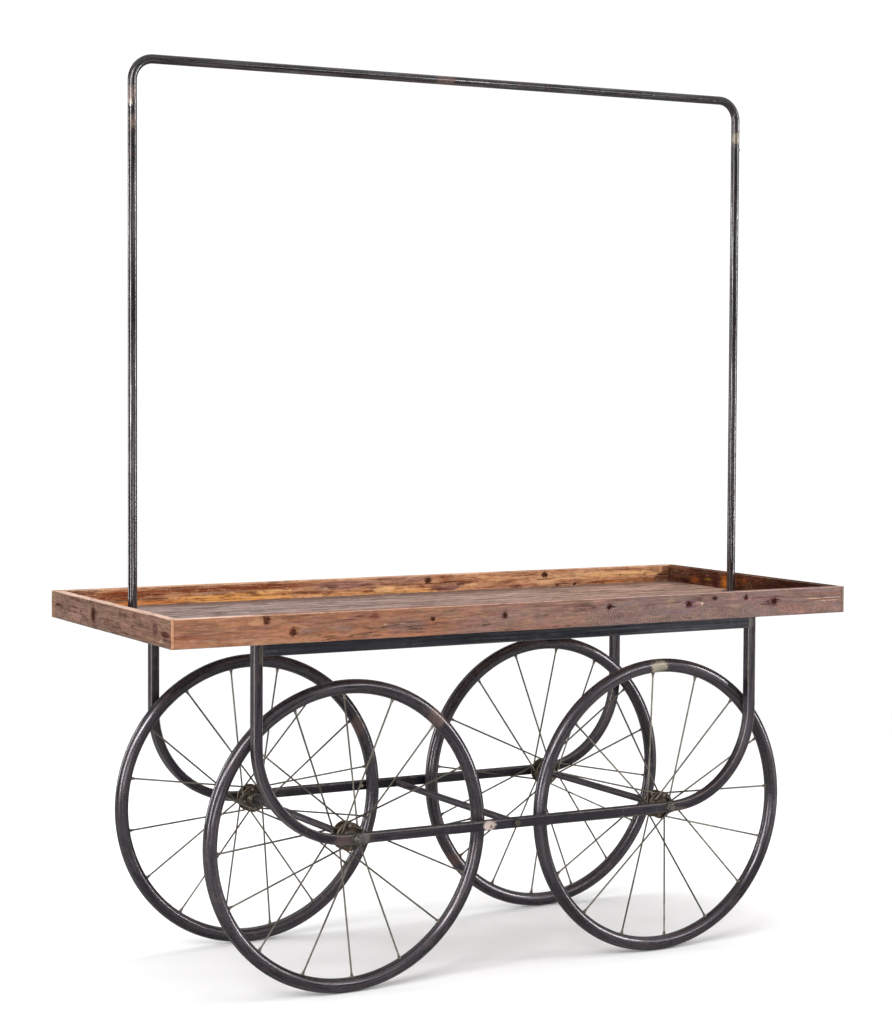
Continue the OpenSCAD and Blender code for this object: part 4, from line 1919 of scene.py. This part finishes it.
@dataclass
class Wheel(Assembly):
    """A wire wheel: a round tube rim, sixteen crossed spokes and a hub."""

    side: Wheelside
    hand: Hand
    turn: float
    rim_steel: bpy.types.Material
    spoke_steel: bpy.types.Material
    hub_iron: bpy.types.Material
    rim_tube: float = 31 * MM
    spoke_count: int = 16
    spoke_radius: float = 2.0 * MM
    hole_circle: float = 23.5 * MM
    flange_radius: float = 31 * MM
    flange_thickness: float = 4 * MM
    flange_inset: float = 5.5 * MM
    barrel_radius: float = 19 * MM
    boss_radius: float = 15 * MM
    bore_radius: float = 8.05 * MM
    stand_off: float = 1.3 * MM
    nipple_length: float = 16 * MM
    nipple_depth: float = 7 * MM

    def __post_init__(self) -> None:
        """Finds the wheel's own places from the frame."""
        self.tag = f"wheel_{self.side.word}_{self.hand.word}"
        low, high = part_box(self.tag + "_rim")
        self.rim_y = abs((low.y + high.y) / 2)
        self.foot = middle_line(self.tag + "_rim")
        self.outer = (high.z - low.z) / 2
        self.axis = Y_AXIS * self.side.value
        ends = (abs(corner.y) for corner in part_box(self.tag + "_hub"))
        self.hub_inner, self.hub_outer = sorted(ends)

    def build(self) -> None:
        """Builds the wheel."""
        self._rim()
        self._spokes()
        self._hub()

    def _at(self, radius: float, degrees: float, y: float) -> Vector:
        """A point of the wheel.

        Args:
            radius: Its distance from the axle.
            degrees: Its angle about the axle before the wheel's turn.
            y: Its distance from the middle of the cart.

        Returns:
            The point in the frame.
        """
        angle = math.radians(degrees + self.turn)
        offset = Vector((radius * math.cos(angle), 0, radius * math.sin(angle)))
        return self.foot + offset + self.axis * y

    def _rim(self) -> None:
        """Builds the rim tube."""
        tube = self.rim_tube / 2
        circle = self.outer - tube
        count = 144
        stations, sections = [], []
        for k in range(count):
            angle = math.tau * k / count
            out = Vector((math.cos(angle), 0, math.sin(angle)))
            place = self.foot + self.axis * self.rim_y + out * circle
            sway = noise.noise(Vector((out.x * 3, out.z * 3, self.foot.x * 5)))
            stations.append(Station(place, out, Y_AXIS, angle * circle))
            sections.append(round_section(tube * (1 - 0.006 * (sway + 1)), 28))
        blank = Blank()
        drift = (self.foot.x * 7 + self.side.value * 2.3, 0.0, 0.0)
        blank.sweep(stations, sections, True, drift)
        self._keep_wheel_part(blank, "tube", self.rim_steel, "rim_steel", "rim")

    def _keep_wheel_part(
        self,
        blank: Blank,
        name: str,
        finish: bpy.types.Material,
        slot: str,
        node: str,
    ) -> None:
        """Keeps a piece that turns with the wheel.

        Args:
            blank: Its mesh.
            name: Its name, without the wheel's.
            finish: Its finish.
            slot: Its material slot.
            node: Its CAD node, without the wheel's name.
        """
        names = (f"{self.tag}_{name}", finish, slot, f"{self.tag}_{node}")
        self.keep(blank, *names, body=self.tag)

    def _spokes(self) -> None:
        """Builds the spokes with their heads and nipples."""
        blank = Blank()
        for index in range(self.spoke_count):
            self._spoke(blank, index)
        self._keep_wheel_part(
            blank, "wires", self.spoke_steel, "spoke_steel", "spokes"
        )

    def _spoke(self, blank: Blank, index: int) -> None:
        """Adds one spoke.

        Args:
            blank: The blank that gets it.
            index: Its number round the wheel.
        """
        lean = 1 if index % 2 == 0 else -1
        half = self.flange_inset + self.flange_thickness / 2
        inner = index // 2 % 2 == 0
        flange_y = self.hub_inner + half if inner else self.hub_outer - half
        angle = index * 360 / self.spoke_count
        hook = angle + lean * 90
        face = self.flange_thickness / 2
        rest = face + self.stand_off + self.spoke_radius
        head = self._at(self.hole_circle, hook, flange_y - lean * (face + 1.4 * MM))
        bend = self._at(self.hole_circle, hook, flange_y + lean * rest)
        tube = self.rim_tube / 2
        rim_end = self._at(self.outer - 2 * tube, angle, self.rim_y)
        direction = (rim_end - bend).normalized()
        normal = (bend - head).cross(direction).normalized()
        tip = rim_end + direction * 2 * MM
        route = bent_route([head, bend, tip], 3.1 * MM, normal, 70 * MM)
        wire = round_section(self.spoke_radius, 10)
        drift = (index * 3.7 + self.foot.x, 0, 0)
        blank.sweep(route, [wire] * len(route), shift=drift)
        out = (bend - head).normalized()
        cap = [
            (-0.1 * MM, 2.2 * MM, 0.6),
            (0.0, 3.3 * MM, 1.0),
            (0.9 * MM, 3.5 * MM, 1.0),
            (1.5 * MM, 2.6 * MM, 0.6),
        ]
        blank.turned(head - out * 0.3 * MM, out, cap, 12)
        start = self.nipple_length - self.nipple_depth
        nipple = [
            (-start, 2.3 * MM, 0.8),
            (-start + 0.8 * MM, 2.95 * MM, 1.0),
            (-3.2 * MM, 2.95 * MM, 0.3),
            (-2.4 * MM, 4.1 * MM, 0.9),
            (-0.6 * MM, 4.3 * MM, 0.6),
            (1.6 * MM, 4.2 * MM, 0.0),
        ]
        blank.turned(rim_end, direction, nipple, 12)

    def _hub(self) -> None:
        """Builds the flanged hub."""
        edge = 0.7 * MM
        low, high = self.hub_inner, self.hub_outer
        boss, barrel = self.boss_radius, self.barrel_radius
        flange = self.flange_radius

        thick = self.flange_thickness

        def flange_rings(near: float, inside: float, outside: float) -> Profile:
            """The rings of one flange, from its near to its far face."""
            far = near + thick
            return [
                (near, inside, 0.0),
                (near, flange - edge, 0.7),
                (near + edge, flange, 1.0),
                (far - edge, flange, 1.0),
                (far, flange - edge, 0.7),
                (far, outside, 0.0),
            ]

        first = low + self.flange_inset
        second = high - self.flange_inset - thick
        profile = [
            (low, self.bore_radius, 0.3),
            (low, boss - edge, 0.8),
            (low + edge, boss, 1.0),
            (first - 1 * MM, boss, 0.0),
        ]
        profile += flange_rings(first, boss + 1 * MM, barrel + 1 * MM)
        profile.append((first + thick + 1 * MM, barrel, 0.0))
        profile.append(((first + second + thick) / 2, barrel - 0.8 * MM, 0.3))
        profile.append((second - 1 * MM, barrel, 0.0))
        profile += flange_rings(second, barrel + 1 * MM, boss + 1 * MM)
        profile += [
            (second + thick + 1 * MM, boss, 0.0),
            (high - edge, boss, 1.0),
            (high, boss - edge, 0.8),
            (high, self.bore_radius, 0.3),
        ]
        blank = Blank()
        blank.turned(self.foot, self.axis, profile, 48, True)
        self._keep_wheel_part(blank, "flanged_hub", self.hub_iron, "hub_steel", "hub")


@dataclass
class Rack(Assembly):
    """The hanging rack: two posts in sockets and a hoop in two halves."""

    steel: bpy.types.Material
    bend_radius: float = 48 * MM
    plate_thickness: float = 2.5 * MM
    peg_radius: float = 8 * MM
    peg_length: float = 30 * MM
    bore_radius: float = 8.1 * MM
    screw_circle: float = 16.5 * MM

    def build(self) -> None:
        """Builds both ends of the rack."""
        for hand in Hand:
            self._socket(hand)
            self._post(hand)
            self._hoop(hand)

    def _socket(self, hand: Hand) -> None:
        """Builds the plate under a post, with its peg and its screws.

        Args:
            hand: The half of the cart.
        """
        node = f"rack_socket_{hand.word}"
        low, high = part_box(node)
        centre = (low + high) / 2
        foot = Vector((centre.x, centre.y, low.z))
        plate = (high.x - low.x) / 2
        top = self.plate_thickness
        peg = self.peg_radius
        edge = 0.5 * MM
        profile = [
            (0.0, plate - edge / 2, 0.6),
            (edge, plate, 1.0),
            (top - edge, plate, 1.0),
            (top, plate - edge, 1.0),
            (top, peg + 1 * MM, 0.0),
            (top + 1 * MM, peg, 0.0),
            (high.z - low.z - 1 * MM, peg, 0.0),
            (high.z - low.z, peg - 1 * MM, 0.3),
        ]
        head = [
            (top - 1 * MM, 2.9 * MM, 0.0),
            (top + 0.3 * MM, 2.9 * MM, 0.8),
            (top + 0.8 * MM, 2.2 * MM, 1.0),
            (top + 0.9 * MM, 1.2 * MM, 0.6),
            (top + 0.5 * MM, 0.9 * MM, 0.0),
        ]
        blank = Blank()
        blank.turned(foot, Z_AXIS, profile, 40)
        for k in range(4):
            angle = math.radians(45 + 90 * k)
            offset = Vector((math.cos(angle), math.sin(angle), 0)) * self.screw_circle
            blank.turned(foot + offset, Z_AXIS, head, 14)
        self.keep(blank, f"post_foot_{hand.word}", self.steel, "rack_steel", node)

    def _post(self, hand: Hand) -> None:
        """Builds a straight post.

        Args:
            hand: The half of the cart.
        """
        node = f"rack_post_{hand.word}"
        hoop = f"rack_hoop_{hand.word}"
        low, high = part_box(node)
        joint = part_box(hoop)[0].z
        centre = (low + high) / 2
        radius = (high.x - low.x) / 2
        foot = Vector((centre.x, centre.y, 0))
        lip = 0.7 * MM
        span = joint - low.z
        profile = [
            (low.z + self.peg_length, self.bore_radius, 0.0),
            (low.z, self.bore_radius, 0.0),
            (low.z, radius - 0.6 * MM, 0.8),
            (low.z + 0.6 * MM, radius, 0.6),
        ]
        profile += [(low.z + 1 * MM + span * k / 40, radius, 0.0) for k in range(40)]
        profile += [
            (joint - lip, radius, 0.7),
            (joint, radius - lip, 1.0),
            (joint, self.peg_radius, 0.0),
            (joint + self.peg_length - 1 * MM, self.peg_radius, 0.0),
            (joint + self.peg_length, self.peg_radius - 1 * MM, 0.0),
        ]
        blank = Blank()
        blank.turned(foot, Z_AXIS, profile, 28)
        screw = [
            (radius - 1.5 * MM, 3.4 * MM, 0.0),
            (radius + 1.6 * MM, 3.4 * MM, 0.8),
            (radius + 2.8 * MM, 2.6 * MM, 1.0),
            (radius + 3.1 * MM, 1.2 * MM, 0.6),
            (radius + 2.4 * MM, 0.9 * MM, 0.0),
        ]
        axis = X_AXIS if hand is Hand.RIGHT else Y_AXIS
        blank.turned(Vector((centre.x, centre.y, joint - 12 * MM)), axis, screw, 14)
        self.keep(blank, f"post_{hand.word}", self.steel, "rack_steel", node)

    def _hoop(self, hand: Hand) -> None:
        """Builds half of the hoop, with the seam of the bar on the left one.

        Args:
            hand: The half of the cart.
        """
        node = f"rack_hoop_{hand.word}"
        low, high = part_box(node)
        radius = (high.y - low.y) / 2
        y = (low.y + high.y) / 2
        post_x = (high.x - radius) if hand is Hand.RIGHT else (low.x + radius)
        end_x = low.x if hand is Hand.RIGHT else high.x
        bar_z = high.z - radius
        corners = [
            Vector((post_x, y, low.z)),
            Vector((post_x, y, bar_z)),
            Vector((end_x, y, bar_z)),
        ]
        route = bent_route(corners, self.bend_radius, Y_AXIS, 40 * MM)
        lip = 0.6 * MM
        first = route[0]
        mouth = (
            (self.peg_length, self.bore_radius, 0.0),
            (0.0, self.bore_radius, 0.0),
            (0.0, radius - lip, 1.0),
            (lip, radius, 0.5),
        )
        start, sections = [], []
        for rise, size, wear in mouth:
            place = first.place + Z_AXIS * rise
            start.append(Station(place, first.out, first.side, rise))
            sections.append(round_section(size, 28, wear))
        sections += [round_section(radius, 28)] * (len(route) - 1)
        blank = Blank()
        blank.sweep(start + route[1:], sections)
        if hand is Hand.LEFT:
            ring = []
            for k in range(-3, 4):
                share = 1 - (k / 3) ** 2
                ring.append((k * 0.9 * MM, radius - 0.45 * MM + 0.4 * MM * share, 0.6))
            seam = Vector((end_x - 3 * MM, y, bar_z))
            blank.turned(seam, X_AXIS, ring, 28)
        self.keep(blank, f"hoop_{hand.word}", self.steel, "rack_steel", node)


# ----------------------------------------------------------------------- studio


@dataclass
class Studio:
    """The floor, the lights and the camera."""

    location: Triple = (-2.5976, -4.5287, 1.3138)
    yaw: float = -27.8
    pitch: float = 2.342
    roll: float = 0.21
    lens: float = 79.91
    shift: tuple[float, float] = (0.0701, -0.0409)
    floor_radius: float = 5.0
    room_low: float = 0.38
    room_high: float = 0.95
    glint_low: float = 0.07
    glint_high: float = 0.5

    def build(self) -> None:
        """Sets up everything that isn't the cart."""
        view = bpy.context.scene.view_settings
        view.view_transform = "Standard"
        view.look = "None"
        self._floor()
        self._world()
        self._lights()
        self._camera()

    def _floor(self) -> None:
        """Lays a round pale floor that fades into the room."""
        blank = Blank()
        radii = (self.floor_radius, self.floor_radius / 2, 0.01)
        profile = [(-0.01, self.floor_radius, 0.0)] + [(0.0, r, 0.0) for r in radii]
        blank.turned(Vector((0, 0, 0)), Z_AXIS, profile, 96)
        mesh = bpy.data.meshes.new("floor")
        mesh.from_pydata(blank.points, [], blank.faces)
        floor = bpy.data.objects.new("floor", mesh)
        s = Shade.named("pale_floor")
        dust = s.cloud(s.place, (3, 3, 3), 3.0)
        colour = s.blend(dust, (0.9, 0.9, 0.9, 1), (0.94, 0.94, 0.94, 1))
        material = s.surface(colour, 0.8, 0.0, dust, 0.0, 0.0, 0.1)
        fade = s.rise(s.distance(s.place, (0, 0, 0)), 2.2, self.floor_radius - 0.2)
        glint = Signal(s, s.node("LightPath").outputs["Is Glossy Ray"])
        fade = s.math("MAXIMUM", fade, glint * 0.85)
        clear = s.node("BsdfTransparent")
        ends = {node.bl_idname: node for node in s.tree.nodes}
        shader = ends["ShaderNodeBsdfPrincipled"]
        output = ends["ShaderNodeOutputMaterial"]
        both = s.node("MixShader", {}, {0: fade})
        s.tree.links.new(shader.outputs[0], both.inputs[1])
        s.tree.links.new(clear.outputs[0], both.inputs[2])
        s.tree.links.new(both.outputs[0], output.inputs[0])
        mesh.materials.append(material)
        bpy.context.scene.collection.objects.link(floor)

    def _world(self) -> None:
        """Makes a white room that is lit from above."""
        world = bpy.data.worlds.new("white_room")
        bpy.context.scene.world = world
        s = Shade(world)
        height = s.parts(s.direction)[2]
        path = s.node("LightPath")
        level = s.rise(height, -0.05, 0.85, self.room_low, self.room_high)
        dim = s.rise(height, 0.1, 0.95, self.glint_low, self.glint_high)
        glint = Signal(s, path.outputs["Is Glossy Ray"])
        level = level + (dim - level) * glint
        seen = Signal(s, path.outputs["Is Camera Ray"])
        light = s.node("Background", {}, {"Color": (1, 1, 1, 1), "Strength": level})
        white = s.node("Background", {}, {"Color": (1, 1, 1, 1), "Strength": 1.05})
        both = s.node("MixShader", {}, {0: seen})
        s.tree.links.new(light.outputs[0], both.inputs[1])
        s.tree.links.new(white.outputs[0], both.inputs[2])
        output = s.node("OutputWorld")
        s.tree.links.new(both.outputs[0], output.inputs[0])

    def _lights(self) -> None:
        """Hangs the soft lights."""
        self._softbox("key", (-4.0, -3.4, 3.8), (0, 0, 0.8), (2.0, 2.0), 132)
        self._softbox("left_strip", (-4.2, -1.4, 1.5), (0, 0, 1.1), (0.5, 2.6), 75)
        self._softbox("back_strip", (-3.2, 3.2, 1.5), (0, 0, 1.0), (0.7, 2.4), 45)
        self._softbox("right_strip", (3.9, -2.4, 1.5), (0, 0, 1.1), (0.5, 2.6), 75)
        self._softbox("low", (-1.9, -4.6, 0.35), (0, 0, 1.2), (2.6, 0.35), 22)
        self._softbox("front", (2.7, -4.6, 3.1), (0, 0, 1.6), (1.8, 0.5), 28)
        self._softbox("top", (0.3, 0.2, 4.6), (0, 0, 0.8), (3.2, 2.4), 110, False)

    @staticmethod
    def _softbox(
        name: str,
        place: Triple,
        target: Triple,
        size: tuple[float, float],
        power: float,
        mirrored: bool = True,
    ) -> None:
        """Hangs one rectangular soft light.

        Args:
            name: Its name.
            place: Where it hangs.
            target: What it points at.
            size: Its width and its height.
            power: Its power in watts.
            mirrored: Whether it shows in the gloss of the steel.
        """
        data = bpy.data.lights.new(name, "AREA")
        data.shape = "RECTANGLE"
        data.size, data.size_y = size
        data.energy = power
        light = bpy.data.objects.new(name, data)
        light.location = place
        light.visible_glossy = mirrored
        aim = Vector(target) - Vector(place)
        light.rotation_mode = "QUATERNION"
        light.rotation_quaternion = aim.to_track_quat("-Z", "Y")
        bpy.context.scene.collection.objects.link(light)

    def _camera(self) -> None:
        """Places the camera."""
        yaw, pitch, roll = (math.radians(v) for v in (self.yaw, self.pitch, self.roll))
        right = Vector((math.cos(yaw), math.sin(yaw), 0))
        level = Vector((math.sin(yaw), -math.cos(yaw), 0))
        back = level * math.cos(pitch) + Z_AXIS * math.sin(pitch)
        up = back.cross(right)
        x_axis = right * math.cos(roll) + up * math.sin(roll)
        y_axis = up * math.cos(roll) - right * math.sin(roll)
        data = bpy.data.cameras.new("camera")
        data.lens = self.lens
        data.sensor_width = 36.0
        data.shift_x, data.shift_y = self.shift
        data.clip_end = 200.0
        camera = bpy.data.objects.new("camera", data)
        turn = Matrix((x_axis, y_axis, back)).transposed()
        camera.matrix_world = Matrix.Translation(self.location) @ turn.to_4x4()
        bpy.context.scene.collection.objects.link(camera)
        bpy.context.scene.camera = camera


# ------------------------------------------------------------------------- main


def main() -> None:
    """Builds the cart round the CAD frame."""
    logging.basicConfig(level=logging.INFO, format="%(message)s")
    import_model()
    frame, rail, bolt, axle, rack, *wheel = (steel.shade() for steel in STEELS)
    turns = {
        (Wheelside.FRONT, Hand.LEFT): 24.5,
        (Wheelside.FRONT, Hand.RIGHT): 3.5,
        (Wheelside.BACK, Hand.LEFT): 9.5,
        (Wheelside.BACK, Hand.RIGHT): 38.5,
    }
    assemblies: list[Assembly] = [
        Tray(),
        Chassis(frame, rail, bolt),
        RunningGear(axle, bolt),
        *(Wheel(*place, turn, *wheel) for place, turn in turns.items()),
        Rack(rack),
    ]
    for assembly in assemblies:
        assembly.build()
        for piece in assembly.pieces:
            name, faces = type(assembly).__name__, len(piece.data.polygons)
            LOG.info("%s: %s, %d faces", name, piece.name, faces)

    Studio().build()


if __name__ == "__main__":
    main()
